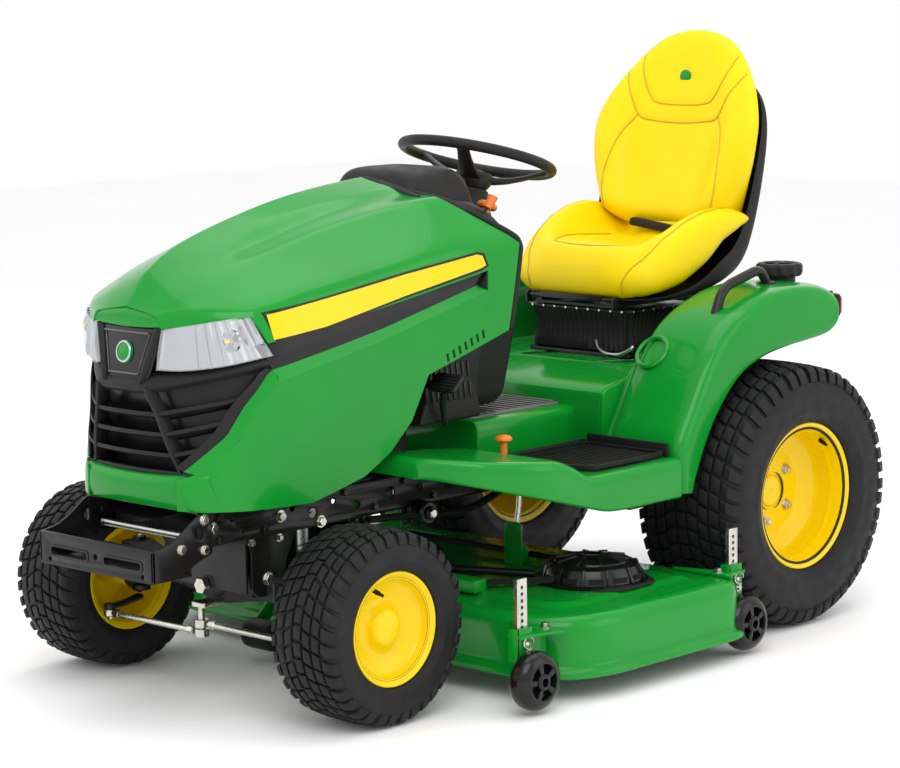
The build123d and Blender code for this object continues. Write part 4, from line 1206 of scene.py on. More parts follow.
boot_rows = []
for z, grow, pleat in ((612, 0, 1), (618, 6, 2), (640, 2, 3.2), (668, -3, 3.4), (696, 2, 3.0),
                       (708, 5, 1.5), (711, 5, 0.3)):
    loop = boot_loop(148 + grow, 496 - grow, 722 + grow, 26, pleat)
    boot_rows.append([(p.x, p.y, z) for p in loop])
piece("seat_boot", grid(boot_rows, round_columns=True, caps=True), RUBBER, "chassis",
      ["seat_suspension"], sharp=60)
flange = prism(rounded(oblong(-162, 162, 484, 734), 18), "Z", 711, 716)
base = prism(rounded(oblong(-158, 158, 486, 738), 14), "Z", 602, 612)
piece("seat_flange", flange + base, BLACK, "chassis", bevel=1)
rivets = []
for i in range(9):
    x = -140 + 35 * i
    rivets.append(bar("Y", (x, 484, 713.5), 3.2, -2.5, 1, 0.6, 12))
for i in range(7):
    y = 500 + 36 * i
    rivets += [bar("X", (162 * s, y, 713.5), 3.2, -2, 2, 0.6, 12) for s in (-1, 1)]
piece("seat_rivets", total(rivets), ZINC, "chassis")
side_arms = []
for side in (-1, 1):
    side_arms.append(prism([(500, 606), (620, 640), (720, 612), (720, 602), (500, 602)], "X",
                           side * 160 - 4, side * 160 + 4))
    side_arms.append(bar("X", (side * 160, 540, 620), 10, -12, 12))
    side_arms.append(bar("X", (side * 160, 690, 616), 8, -12, 12))
piece("seat_arms", total(side_arms), BLACK, "chassis", bevel=1)
lever = smooth_line([(60, 486, 640), (80, 470, 626), (120, 452, 618), (165, 446, 620),
                     (190, 452, 632), (196, 458, 640)], 8)
piece("seat_lever", tube(lever, 4.5, 12), STEEL, "chassis")
coils = []
for x0, y0 in ((150, 752), (-150, 752)):
    line = [(x0 + 17 * math.cos(k * 0.7), y0 + 17 * math.sin(k * 0.7), 606 + k * 1.75)
            for k in range(64)]
    coils.append(tube(line, 2.8, 8))
piece("seat_springs", total(coils), STEEL, "chassis")

# Rear fenders, footrests and seat deck --------------------------------------------------------

# Side view of the fender as pairs (y, z, y, z): a point of its top line and one of its wheel arch.
FENDER = [(253, 352, 300, 350), (252, 400, 306, 374), (252, 462, 318, 402), (274, 500, 336, 440),
          (300, 540, 358, 480), (345, 621, 400, 536), (404, 691, 450, 584), (440, 718, 486, 606),
          (480, 739, 522, 620), (540, 761, 572, 635), (597, 776, 622, 642), (650, 781, 662, 647),
          (700, 783, 704, 650), (760, 779, 752, 654), (820, 771, 806, 658), (870, 760, 852, 664),
          (900, 751, 884, 674), (917, 740, 908, 687)]
INNER_X, OUTER_X = 274, 502
DECK_Z = 600


def fender_rows():
    """Cross-sections from the seat deck up over the fender and down to the arch's rolled lip."""
    rows = []
    for i, (y, z, arch_y, arch_z) in enumerate(FENDER):
        down = Vector((0, arch_y - y, arch_z - z))
        reach = down.length
        down.normalize()
        before, after = FENDER[max(i - 1, 0)], FENDER[min(i + 1, len(FENDER) - 1)]
        along_arch = Vector((0, after[2] - before[2], after[3] - before[3])).normalized()
        inward = Vector((0, along_arch.z, -along_arch.y))
        top = Vector((0, y, z))
        flat_drop = min(1.0, reach / 60)
        row = []
        floor_z = min(DECK_Z, z)
        row.append(Vector((INNER_X - 6, y, floor_z)))
        row.append(Vector((INNER_X + 1, y, floor_z + 0.12 * (z - floor_z))))
        row.append(Vector((INNER_X + 4, y, floor_z + 0.6 * (z - floor_z))))
        for x, drop_in in ((INNER_X + 9, 20), (INNER_X + 19, 8), (INNER_X + 34, 1.5),
                           (INNER_X + 70, -1.5), (INNER_X + 120, -2.5), (INNER_X + 170, -2),
                           (OUTER_X - 34, 0), (OUTER_X - 19, 2.5), (OUTER_X - 8, 9),
                           (OUTER_X - 2, 20)):
            row.append(top + Vector((x, 0, 0)) + down * drop_in * flat_drop)
        row.append(top + Vector((OUTER_X, 0, 0)) + down * max(30 * flat_drop, reach * 0.4))
        row.append(top + Vector((OUTER_X, 0, 0)) + down * reach * 0.72)
        row.append(top + Vector((OUTER_X + 1, 0, 0)) + down * (reach - 7))
        row.append(top + Vector((OUTER_X - 2, 0, 0)) + down * reach)
        row.append(top + Vector((OUTER_X - 14, 0, 0)) + down * (reach + 3))
        rows.append([rear_rounded(p) for p in row])
    return rows


def rear_rounded(point):
    """Draw the fender's rear corner forward, further the nearer it is to the outer side."""
    if point.y < 770 or point.x < 380:
        return point
    share = 1 - 0.48 * eased((point.x - 380) / (OUTER_X - 380))
    return Vector((point.x, 770 + (point.y - 770) * share, point.z))


fender_shape = grid(fender_rows())
KNOCK_AT, KNOCK_SLOPE = (330, 364, 648), 50
for side, sign in SIDES:
    piece(f"fender_{side}", fender_shape.on_side(sign), GREEN, "chassis", ["fender_deck"], levels=2,
          thick=4, sharp=40)
knock_ring = [(2.2, 34), (4.2, 36), (5.4, 39), (4.2, 42), (1.8, 44.5), (-2, 44.5), (-2, 34)]
for side, sign in SIDES:
    ring_shape = lathe(knock_ring, "Z", (0, 0, 0), 64, closed=True).turned("X", KNOCK_SLOPE)
    piece(f"fender_boss_{side}", ring_shape.moved(sign * KNOCK_AT[0], KNOCK_AT[1], KNOCK_AT[2]),
          GREEN, "chassis")

# Seat deck: a pan between the fenders with a turned-down front, two slots and pressed ribs.
pan_line = [(246, 442), (246, 548), (250, 560), (262, 568), (300, 577), (350, 588), (400, 596),
            (440, 600), (895, 600), (906, 604), (912, 616), (914, 700), (910, 712), (898, 716)]
columns = [-(INNER_X + 2), -262, -252, -200, -120, -60, 0, 60, 120, 200, 252, 262, INNER_X + 2]
pan_rows = []
for y, z in pan_line:
    lift = [12, 3, 0, 0, 0, 0, 0, 0, 0, 0, 0, 3, 12]
    pan_rows.append([(x, y, z + (lift[i] if z >= 590 else 0)) for i, x in enumerate(columns)])
pan_holes = [rounded([(85, 420), (120, 420), (215, 560), (180, 560)], 12),
             rounded([(-140, 420), (-105, 420), (-25, 560), (-60, 560)], 12),
             rounded(oblong(-60, 60, 780, 850), 20)]
pan_cuts = [cutter(prism(hole, "Z", 560, 640)) for hole in pan_holes]
piece("seat_deck", grid(pan_rows), GREEN, "chassis", thick=3, cut=pan_cuts, bevel=2.5)
drop(pan_cuts)
pressed = [slab(x - 9, x + 9, 430, 478, 598, 604) for x in (-205, 215)]
pressed.append(slab(-230, 230, 408, 416, 594, 603))
piece("seat_deck_ribs", total(pressed), GREEN, "chassis", bevel=2.5, segments=3)
# Black sheet under the deck: painted shade seen through the deck's openings.
piece("seat_deck_shade_sheet", slab(-230, 230, 410, 880, 560, 566), BLACK, "chassis", bevel=2)

gusset = [(246, 436), (246, 558), (262, 569), (300, 578), (330, 586), (304, 541), (256, 462),
          (253, 436)]
piece("seat_deck_gussets", prism(gusset, "X", 262, 282).both(), GREEN, "chassis", bevel=2)

# Footrests: top, turned-down skirt and front; the outer edge follows the plan of the tread.
FOOT_TOP = [(-412, 507), (-400, 506), (-150, 484), (-110, 468), (-60, 441), (-30, 437), (252, 437)]
FOOT_LOW = [(-412, 462), (-400, 461), (4, 350), (60, 348), (252, 348)]
FOOT_EDGE = [(-412, 345), (-410, 348), (-345, 440), (-290, 478), (-230, 502), (-180, 509),
             (-100, 510), (252, 510)]
foot_rows = []
for y in (-416, -414, -408, -396, -370, -345, -320, -290, -260, -230, -200, -175, -150, -130, -110,
          -90, -75, -60, -45, -30, 0, 50, 120, 190, 240, 247, 250):
    top, low, edge = between(y, FOOT_TOP), between(y, FOOT_LOW), between(y, FOOT_EDGE)
    front = max(0.0, (-405 - y) / 11)
    top -= 14 * front ** 1.5
    row = [(203, y, top - 30), (203, y, top - 3), (206, y, top)]
    row += [(206 + (edge - 24 - 206) * t, y, top) for t in (0.25, 0.5, 0.75, 1)]
    row += [(edge - 12, y, top - 1.5), (edge - 5, y, top - 6), (edge - 1, y, top - 14),
            (edge, y, top - 24), (edge, y, (top - 24 + low) / 2), (edge, y, low + 3),
            (edge - 3, y, low), (edge - 16, y, low)]
    foot_rows.append(row)
low_row = [(min(p[0], 330), -416, max(461, p[2] - 32)) for p in foot_rows[0]]
foot = grid([low_row] + foot_rows)
for side, sign in SIDES:
    piece(f"footrest_{side}", foot.on_side(sign), GREEN, "chassis", ["footrests"], levels=1,
          thick=3, sharp=50)

mat_outline = rounded([(236, -112), (236, 232), (470, 236), (478, 150), (478, 0), (430, -30)], 10,
                      4)


def raised(outline, low, high, inset):
    """Rim that follows an outline, as a closed band."""
    centre = sum((Vector(p) for p in outline), Vector((0, 0))) / len(outline)
    inner = [tuple(Vector(p) + (centre - Vector(p)).normalized() * inset) for p in outline]
    rows = [[(x, y, low) for x, y in outline], [(x, y, high - 1) for x, y in outline],
            [((x + u) / 2, (y + v) / 2, high) for (x, y), (u, v) in zip(outline, inner)],
            [(u, v, high - 1) for u, v in inner], [(u, v, low) for u, v in inner]]
    return grid(rows, round_rows=True, round_columns=True)


treads = []
for i in range(15):
    y = -4 + 15.5 * i
    treads.append(slab(252, 456 if y > 20 else 430, y - 3, y + 3, 443.5, 446.5))
mat_parts = prism(mat_outline, "Z", 436, 444)
rear_lip = slab(240, 476, 238, 246, 437, 468)
inner_lip = slab(230, 238, -60, 240, 437, 455)
MAT_SHAPES = [("mat", mat_parts, 1.5), ("mat_rim", raised(mat_outline, 440, 452, 9), 0),
              ("mat_treads", total(treads), 1.2), ("mat_lip", rear_lip + inner_lip, 3)]
for side, sign in SIDES:
    for name, shape, size in MAT_SHAPES:
        stands = ["footrest_mats"] if name == "mat" else ()
        piece(f"{name}_{side}", shape.on_side(sign), RUBBER, "chassis", stands, bevel=size,
              sharp=45)

# Tunnel between the footrests, with a glossy panel let into its top.
tunnel = rounded([(-203, 436), (-203, 530), (203, 530), (203, 436)], [0, 26, 26, 0], 6)
piece("tunnel", prism(tunnel, "Y", -84, 246), GREEN, "chassis", ["tunnel_cover"], bevel=4,
      segments=3)
piece("tunnel_panel", prism(rounded(oblong(-168, 168, -70, 232), 16), "Z", 528, 534), GREY,
      "chassis", slot="black_plastic", bevel=2)
ridges = [slab(-150, 150, y - 5, y + 5, 533, 537) for y in range(-40, 226, 24)]
piece("tunnel_ridges", total(ridges), GREY, "chassis", slot="black_plastic", bevel=2)

# Dash tower -----------------------------------------------------------------------------------


def side_form(outline, half, round_by=16, steps=5):
    """Upright form cut to a side view (y, z), its edges rounded where it meets its side faces."""
    centre = sum((Vector(p) for p in outline), Vector((0, 0))) / len(outline)
    rows = []
    for k in range(steps + 1):
        turn = math.pi / 2 * k / steps
        shrink, x = round_by * (1 - math.sin(turn)), -half + round_by * (1 - math.cos(turn))
        rows.append((x, shrink))
    rows = rows + [(-x, shrink) for x, shrink in reversed(rows)]
    made = []
    for x, shrink in rows:
        row = []
        for p in outline:
            q = Vector(p)
            row.append((x, *(q + (centre - q).normalized() * shrink)))
        made.append(row)
    return grid(made, round_columns=True, caps=True)


band = rounded([(-300, 548), (-104, 548), (-122, 600), (-86, 741), (-70, 850), (-100, 905),
                (-222, 905), (-262, 880), (-190, 800)], [6, 10, 30, 10, 20, 20, 14, 20, 20], 5)
piece("dash_sides", side_form(band, 236, 9), PLASTIC, "chassis", ["dash_tower"], sharp=50)

# Trim that frames the hood's rear edge: a soft rib set a little outside the sheet.
REAR_EDGE = [(741, -87), (800, -74), (860, -60), (926, -46), (960, -94), (1000, -150), (1040, -206),
             (1070, -228)]


def trim_rows(start_z):
    rows = []
    z = start_z
    while z < 1069:
        y = between(z, REAR_EDGE)
        rows.append((skin(y, z), y, z))
        z += 9
    section = [p for p in hood_section(-228) if p.y > 1030]
    for p in section:
        rows.append((p.x, -228, p.y))
    return rows


edge_line = [Vector(p) for p in trim_rows(741)]
kept = [edge_line[0]]
for p in edge_line[1:]:
    if (p - kept[-1]).length > 6:
        kept.append(p)
trim = []
for p in kept:
    if p.z < 926:
        rear, out = Vector((0, 1, -0.2)), Vector((1, 0, 0))
    else:
        at_side = p.x > 230
        rear = Vector((0, 0.6, 0.55) if at_side else (0, 1, 0.1)).normalized()
        out = Vector((1, 0, 0.35) if at_side else (0.1, 0, 1)).normalized()
    row = []
    for back_by, out_by in ((1.5, -26), (1.5, -3), (4, 1.5), (9, 3), (14, 1), (17, -5), (17, -14),
                            (12, -26)):
        row.append(p + rear * back_by + out * out_by)
    trim.append(row)
piece("dash_trim", grid(trim, round_columns=True, caps=True).both(), PLASTIC, "chassis", levels=1,
      sharp=60)
core = rounded([(-200, 548), (62, 548), (112, 700), (128, 800), (118, 900), (60, 968), (-20, 1010),
                (-160, 1030), (-210, 900)], [6, 30, 60, 60, 50, 40, 40, 30, 30], 7)
piece("dash_core", side_form(core, 152, 34, 8), PLASTIC, "chassis", sharp=50)

# Instrument dome: rings from its foot up to its flat crown.
dome_rows = []
for z, half, front, rear, corner in ((930, 138, -214, 20, 40), (985, 134, -210, 12, 42),
                                     (1030, 128, -204, 2, 44), (1056, 121, -198, -6, 46),
                                     (1073, 109, -190, -18, 46), (1082, 92, -176, -34, 40),
                                     (1086, 60, -150, -62, 30), (1086.5, 20, -116, -94, 10)):
    loop = rounded(oblong(-half, half, front, rear), corner, 8)
    dome_rows.append([(x, y, z) for x, y in loop])
piece("dash_dome", grid(dome_rows, round_columns=True, caps=True), PLASTIC, "chassis", levels=1,
      sharp=60)
brow_line = [(-100, -10, 1050), (-60, 0, 1056), (0, 4, 1058), (60, 0, 1056), (100, -10, 1050)]
piece("dash_brow", tube(smooth_line(brow_line), 5, 12), PLASTIC, "chassis")
dial = lathe([(0, 0.01), (0, 34), (3, 36), (3, 42), (0, 44), (-6, 44)], "Z", (0, 0, 0),
             48).turned("X", -38).moved(0, 22, 1022)
piece("dash_dial", dial, GLOSS, "chassis", slot="black_plastic")

# Column boot: a cone of shallow bellows from the dash to the wheel's hub, about the column's axle.
boot = [(-190, 84), (-178, 80), (-168, 70), (-150, 66), (-140, 58), (-122, 55), (-112, 48),
        (-96, 46), (-88, 41), (-74, 39), (-72, 30), (-72, 0.01)]
piece("column_boot", on_column(lathe(boot, "Z", (0, 0, 0), 64)), PLASTIC, "chassis", sharp=55)

# Controls on the dash: a mushroom knob on a collar, a throttle lever and a turn key.
knob_at = drawn(middle("pto_knob"))
knob = [(-14, 9), (2, 9), (5, 12), (6, 21), (10, 23.5), (16, 23), (20, 18), (21.5, 8), (21.5, 0.01)]
piece("pto_button", lathe(knob, "Z", (0, 0, 0), 40).turned("X", -24).moved(*knob_at), ORANGE,
      "pto_switch", ["pto_knob"])
collar_at = knob_at - Vector((0, 6, 18))
collar = [(-22, 34), (-8, 32), (-3, 28), (0, 22), (0, 12), (-6, 11)]
piece("pto_collar", lathe(collar, "Z", (0, 0, 0), 40).turned("X", -24).moved(*collar_at), PLASTIC,
      "chassis")
lever_line = [(150, -20, 958), (156, 0, 985), (158, 12, 1000)]
piece("throttle_lever", tube(smooth_line(lever_line), 4, 10), BLACK, "chassis")
piece("throttle_grip", tube(smooth_line([(156, 6, 992), (159, 16, 1006), (160, 22, 1016)]),
                            lambda t: 9 + 3 * t, 14), ORANGE, "chassis", sharp=60)
KEY_AT = (-90, 70, 985)
KEY_BARREL = [(0, 15), (4, 14), (5, 9), (5, 0.01)]
key = lathe(KEY_BARREL, "Z", (0, 0, 0), 32).turned("X", -30).moved(*KEY_AT)
key_blade = slab(-9, 9, -1.5, 1.5, 4, 26).turned("X", -30).moved(*KEY_AT)
piece("key_switch", key, ZINC, "chassis")
piece("key", key_blade, GLOSS, "chassis", slot="black_plastic", bevel=1)

# Tower side below the hood: cooling louvres in the black panel.
louvres = []
for row in range(2):
    for i in range(9):
        y = -285 + 17 * i
        louvre = slab(233, 239, y, y + 9, 640 - 46 * row, 676 - 46 * row)
        louvres.append(louvre.turned("X", 8, (235, y, 640)))
piece("tower_louvres", total(louvres).both(), BLACK, "chassis", bevel=2)

# Handles, cap and reflectors on the fenders ---------------------------------------------------

path = rounded([(455, 690), (500, 788), (640, 820), (672, 770)], [0, 34, 26, 0], 8)
bend = [(425, y, z) for y, z in path]
handle = tube(bend, 11.5, 16).both()
piece("grab_bars", handle, BLACK, "chassis", ["grab_handles"], sharp=50)
feet = []
for y, z, tilt in ((462, 716, 36), (668, 784, 0)):
    foot_pad = lathe([(-4, 20), (2, 20), (4, 17), (6, 13), (6, 0.01)], "Z", (0, 0, 0),
                     28).turned("X", tilt).moved(425, y, z)
    feet.append(foot_pad)
piece("grab_feet", total(feet).both(), BLACK, "chassis")

cap_at = drawn(middle("fuel_cap"))
cap_high = drawn(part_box("fuel_cap")[1])
GRIP = ((0, 50, 0), (3, 54, 1.2), (8, 55.5, 2.2), (20, 55.5, 2.4), (26, 54, 1.6), (29, 50, 0.6),
        (30, 44, 0))
CROWN = ((40, -5), (24, -5.5), (12, -5.5))
rows = []
for rise, r, lobe in [(dz - 32, r, lobe) for dz, r, lobe in GRIP] + [(dz, r, 0) for r, dz in CROWN]:
    row = []
    for k in range(144):
        angle, reach = math.tau * k / 144, r - lobe * (1 + math.cos(k * math.tau / 12))
        row.append((cap_at.x + reach * math.cos(angle), cap_at.y + reach * math.sin(angle),
                    cap_high.z + rise))
    rows.append(row)
piece("fuel_cap_grip", grid(rows, round_columns=True, caps=True), PLASTIC, "cap", ["fuel_cap"],
      sharp=50)
cross = [slab(-34, 34, -5, 5, -7, -1), slab(-5, 5, -34, 34, -7, -1)]
piece("fuel_cap_bars", total(cross).turned("Z", 20).moved(cap_at.x, cap_at.y, cap_high.z), PLASTIC,
      "cap", bevel=2)
neck = [(-60, 30), (-46, 36), (-30, 38), (-2, 38), (0, 36)]
piece("fuel_neck", lathe(neck, "Z", (cap_at.x, cap_at.y, cap_high.z - 30), 48), PLASTIC, "chassis")

REFLECTOR_AT = (470, 874, 718)
reflector = prism(rounded(oblong(-13, 13, -21, 21), 8), "Y", 2, 10).turned("Z", -36)
rims = prism(rounded(oblong(-18, 18, -26, 26), 9), "Y", -6, 5).turned("Z", -36)
piece("tail_reflectors", reflector.moved(*REFLECTOR_AT).both(), REFLECTOR, "chassis",
      slot="lens_clear", bevel=2)
piece("tail_reflector_frames", rims.moved(*REFLECTOR_AT).both(), PLASTIC, "chassis", bevel=2)

# Frame, bumper and hanger ---------------------------------------------------------------------


def hex_bolt(axis, place, across=8, out=6, sign=1):
    """Hexagon head on a washer, standing out along an axis."""
    head = lathe([(1.5, 0.01), (1.5, across), (out, across), (out + 0.8, across - 1),
                  (out + 0.8, 0.01)], axis, (0, 0, 0), 6)
    washer = lathe([(-1, 0.01), (-1, across + 3), (1.6, across + 3), (1.6, 0.01)], axis, (0, 0, 0),
                   24)
    both = head + washer
    if sign < 0:
        both = both.turned("Z" if axis != "Z" else "X", 180)
    return both.moved(*place)


channel = [(135, 362), (171, 362), (175, 366), (175, 436), (171, 440), (135, 440), (135, 435),
           (168, 435), (170, 433), (170, 369), (168, 367), (135, 367)]
RAIL_HOLES = ((-850, 400, 9), (-790, 412, 6), (-760, 384, 6), (-620, 412, 8), (-560, 392, 12),
              (-500, 410, 7), (-430, 392, 9), (-330, 404, 14), (-240, 404, 9), (-150, 404, 14),
              (-60, 404, 9), (60, 404, 14), (180, 404, 9), (300, 404, 14), (420, 404, 9))
for side, sign in SIDES:
    rail_knives = [cutter(bar("X", (155 * sign, y, z), r, -30, 30, 0.5, 20))
                   for y, z, r in RAIL_HOLES]
    piece(f"{side}_rail", prism(channel, "Y", -880, 780).on_side(sign), BLACK, "chassis",
          [f"{side}_frame_rail"], cut=rail_knives, bevel=1.2)
    drop(rail_knives)
bolts = []
for y, z in ((-825, 424), (-825, 376), (-700, 424), (-700, 380), (-590, 424), (-470, 424),
             (-380, 380), (-290, 424), (-200, 380), (0, 424), (120, 380), (240, 424)):
    bolts.append(hex_bolt("X", (175, y, z), 8, 7))
piece("rail_bolts", total(bolts).both(), BLACK, "chassis")
BRIGHT_BOLTS = ((-842, 402), (-655, 400), (-540, 372), (60, 372))
bright = total(hex_bolt("X", (176, y, z), 10, 8) for y, z in BRIGHT_BOLTS)
piece("rail_bright_bolts", bright.both(), ZINC, "chassis")
rod_front = bar("X", (0, -872, 384), 8, -134, 134)
piece("front_cross_rod", rod_front, STEEL, "chassis")
front_plate = prism(oblong(-134, 134, 366, 436), "Y", -838, -832)
front_plate = front_plate + slab(-134, 134, -838, -770, 432, 436)
tie_plates = [slab(-134, 134, y, y + 5, 368, 434) for y in (-330, -10, 330)]
piece("frame_cross_plates", total([front_plate] + tie_plates), BLACK, "chassis", bevel=1.5)

slots = [cutter(prism(rounded(oblong(x - 58, x + 58, 334, 352), 8.8, 5), "Y", -1020, -990))
         for x in (-84, 84)]
FACE_HOLES = ((0, 346, 6.5), (-146, 324, 5), (146, 324, 5))
holes = [cutter(bar("Y", (x, -1003, z), r, -20, 20, 0.5, 24)) for x, z, r in FACE_HOLES]
face = prism(rounded(oblong(-178, 178, 312, 380), 3, 2), "Y", -1006, -1000)
piece("bumper_face", face, BLACK, "chassis", ["front_bumper"], cut=slots + holes, bevel=1)
drop(slots + holes)
lips = []
for x in (-84, 84):
    outline = rounded(oblong(x - 62, x + 62, 331, 355), 11, 5)
    inner = rounded(oblong(x - 57, x + 57, 335, 351), 7.5, 5)
    rows = [[(u, -1001, v) for u, v in outline], [(u, -1007.4, v) for u, v in outline],
            [(u, -1007.4, v) for u, v in inner], [(u, -996, v) for u, v in inner],
            [(u, -996, v) for u, v in outline]]
    lips.append(grid(rows, round_rows=True, round_columns=True))
piece("bumper_slot_lips", total(lips), BLACK, "chassis", sharp=40)
arm = rounded([(-1006, 313), (-1006, 379), (-966, 384), (-925, 404), (-882, 436), (-846, 438),
               (-846, 352), (-884, 340), (-930, 318), (-960, 312)],
              [3, 3, 20, 30, 20, 4, 4, 20, 30, 10], 5)
arm_holes = [cutter(bar("X", (sx, -880, 396), 12, -12, 12, 0.5, 28)) for sx in (175, -175)]
arms = prism(arm, "X", 172, 178)
piece("bumper_arms", arms.both(), BLACK, "chassis", cut=arm_holes, bevel=1)
drop(arm_holes)
bumper_pan = slab(-172, 172, -1000, -900, 313, 318) + slab(-172, 172, -905, -900, 313, 352)
piece("bumper_floor", bumper_pan, BLACK, "chassis", bevel=1.5)
ARM_BOLTS = ((-930, 372), (-868, 424), (-868, 362))
arm_bolts = total(hex_bolt("X", (178, y, z), 9, 7) for y, z in ARM_BOLTS)
piece("bumper_bolts", arm_bolts.both(), ZINC, "chassis")

hanger = rounded([(-724, 430), (-572, 430), (-572, 350), (-600, 300), (-612, 238), (-634, 226),
                  (-684, 226), (-700, 240), (-700, 330), (-724, 360)],
                 [4, 4, 20, 20, 16, 16, 16, 20, 20, 6], 5)
hanger_shape = prism(hanger, "X", 128, 134)
crossing = [slab(-128, 128, -712, -706, 236, 428), slab(-128, 128, -568, -562, 236, 428),
            slab(-128, 128, -706, -568, 422, 428)]
piece("axle_hanger_plates", hanger_shape.both() + total(crossing), BLACK, "chassis",
      ["axle_hanger"], bevel=1.2)
HANGER_BOLTS = ((-690, 395, 9), (-660, 388, 8), (-700, 345, 6), (-622, 345, 6), (-655, 262, 13))
pins = [hex_bolt("X", (134, y, z), r, 8) for y, z, r in HANGER_BOLTS]
nut = lathe([(-14, 0.01), (-14, 17), (0, 17), (2, 14), (2, 0.01)], "Y", (0, -714, 240), 6)
piece("hanger_bolts", total(pins).both() + nut, ZINC, "chassis")

# Front axle -----------------------------------------------------------------------------------

beam_rows = []
for x, low_z, high_z, half_y in ((-324, 200, 288, 30), (-300, 192, 290, 34), (-276, 198, 286, 30),
                                 (-230, 214, 276, 22), (-140, 212, 268, 22), (-70, 204, 270, 26),
                                 (-34, 198, 278, 42), (0, 196, 280, 46)):
    loop = rounded(oblong(-637 - half_y, -637 + half_y, low_z, high_z), 9, 3)
    beam_rows.append([(x, y, z) for y, z in loop])
beam_rows += [[(-x, y, z) for x, y, z in row] for row in beam_rows[-2::-1]]
piece("axle_beam", grid(beam_rows, round_columns=True, caps=True), IRON, "front_axle",
      ["front_axle_beam"], sharp=50)
pivot_boss = bar("Y", (0, -637, 240), 30, -48, 46, 3, 40)
webs_axle = [slab(sx - 4, sx + 4, -684, -590, 222, 262) for sx in (-180, -110, 110, 180)]
piece("axle_pivot_boss", pivot_boss + total(webs_axle), IRON, "front_axle", bevel=2)

for side, sign in SIDES:
    king = bar("Z", (300, -635, 0), 15, 176, 297, 2, 28)
    king += bar("Z", (300, -635, 0), 21, 176, 190, 2, 28)
    elbow = tube(smooth_line([(300, -635, 186), (318, -635, 190), (345, -635, 200),
                              (372, -635, 202)], 6), 17, 20)
    stub = bar("X", (0, -635, 202), 12.5, 360, 466, 2, 28)
    rod_z = 160 if sign > 0 else 140
    arm_line = smooth_line([(300, -640, rod_z + 22), (302, -670, rod_z + 16),
                            (304, -700, rod_z + 13), (300, -726, rod_z + 13)], 6)
    steer_arm = tube(arm_line, 15, 16, 0.5)
    eye = bar("Z", (300, -725, rod_z), 13, 5, 20, 2, 24)
    knuckle = king + elbow + steer_arm + eye
    dust_cap = hex_bolt("Z", (300, -635, 296), 8, 4)
    piece(f"{side}_knuckle_casting", knuckle.on_side(sign), BLACK, f"{side}_knuckle",
          [f"{side}_knuckle"], sharp=50)
    piece(f"{side}_stub_axle", (stub + dust_cap).on_side(sign), STEEL, f"{side}_knuckle", sharp=40)
    shank = tube(smooth_line([(24, -725, rod_z), (90, -725, rod_z), (220, -725, rod_z),
                              (286, -725, rod_z)], 4), 6.5, 14)
    ends = lathe([(-9, 0.01), (-9, 11), (-6, 14), (6, 14), (9, 11), (9, 0.01)], "Z", (0, 0, 0), 28)
    collars = bar("X", (0, -725, rod_z), 9, 268, 288, 1.5, 6)
    collars += bar("X", (0, -725, rod_z), 9, 26, 44, 1.5, 6)
    eyelet = lathe([(-8, 9), (-8, 15), (8, 15), (8, 9)], "Z", (0, -725, rod_z), 28, closed=True)
    rod = shank + collars + ends.moved(300, -725, rod_z) + eyelet
    stud = bar("Z", (300, -725, rod_z), 6, -15, -6, 1, 6)
    piece(f"{side}_rod", (rod + stud).on_side(sign), ZINC, f"{side}_tie_rod", [f"{side}_tie_rod"],
          sharp=40)
plate = rounded([(-22, -738), (22, -738), (20, -660), (20, -614), (-20, -614), (-20, -660)], 10, 4)
sector_shapes = [prism(plate, "Z", 196, 206), bar("Z", (0, -725, 0), 7.2, 130, 200, 1, 20),
                 bar("Z", (0, -635, 0), 16, 190, 214, 2, 28)]
piece("sector_plate", total(sector_shapes), ZINC, "sector", ["steering_sector"], bevel=1)

# Engine: crankcase, finned cylinders, blower housing, air cleaner and muffler ------------------

sump = rounded(oblong(-118, 118, -640, -430), 40, 5)
piece("engine_sump", prism(sump, "Z", 442, 520), ALLOY, "chassis", ["engine"], bevel=4, segments=3)
cylinders, fins = [], []
for side in (-1, 1):
    cylinders.append(bar("Y", (side * 66, 0, 566), 40, -668, -520, 3, 36))
    for i in range(9):
        outline = rounded(oblong(side * 66 - 52, side * 66 + 52, 512, 618), 18, 4)
        fins.append(prism(outline, "Y", -664 + 14 * i, -660 + 14 * i))
    head_outline = rounded(oblong(side * 66 - 46, side * 66 + 46, 520, 612), 12, 4)
    cylinders.append(prism(head_outline, "Y", -679, -662))
piece("engine_cylinders", total(cylinders), ALLOY, "chassis", bevel=1.5)
piece("engine_fins", total(fins), ALLOY, "chassis")
blower = rounded([(-146, -600), (146, -600), (146, -300), (90, -275), (-90, -275), (-146, -300)],
                 50, 6)
piece("engine_blower", prism(blower, "Z", 612, 690), PLASTIC, "chassis", bevel=14, segments=4)
screen_rows = [(690, 92), (704, 90), (710, 84), (712, 60), (714, 0.01)]
piece("engine_screen", lathe(screen_rows, "Z", (0, -410, 0), 64), BLACK, "chassis")
spokes_screen = [slab(-84, 84, -413, -407, 712, 717).turned("Z", 22.5 * i, (0, -410, 0))
                 for i in range(8)]
piece("engine_screen_spokes", total(spokes_screen), PLASTIC, "chassis", bevel=1)
cleaner = rounded(oblong(-110, 60, -590, -500), 24, 5)
piece("air_cleaner", prism(cleaner, "Z", 690, 756), PLASTIC, "chassis", bevel=8, segments=3)
piece("air_cleaner_knob", bar("Z", (-25, -545, 0), 14, 754, 766, 3, 8), GREY, "chassis",
      slot="black_plastic")
muffler = rounded(oblong(-470, -300, 470, 556), 34, 6)
piece("muffler", prism(muffler, "X", -104, 104), STEEL, "chassis", slot="engine_alloy", bevel=6,
      segments=3)
seams_muffler = [prism(rounded(oblong(-474, -296, 466, 560), 36, 6), "X", x - 2, x + 2)
                 for x in (-60, 60)]
piece("muffler_seams", total(seams_muffler), STEEL, "chassis", slot="engine_alloy", bevel=1)
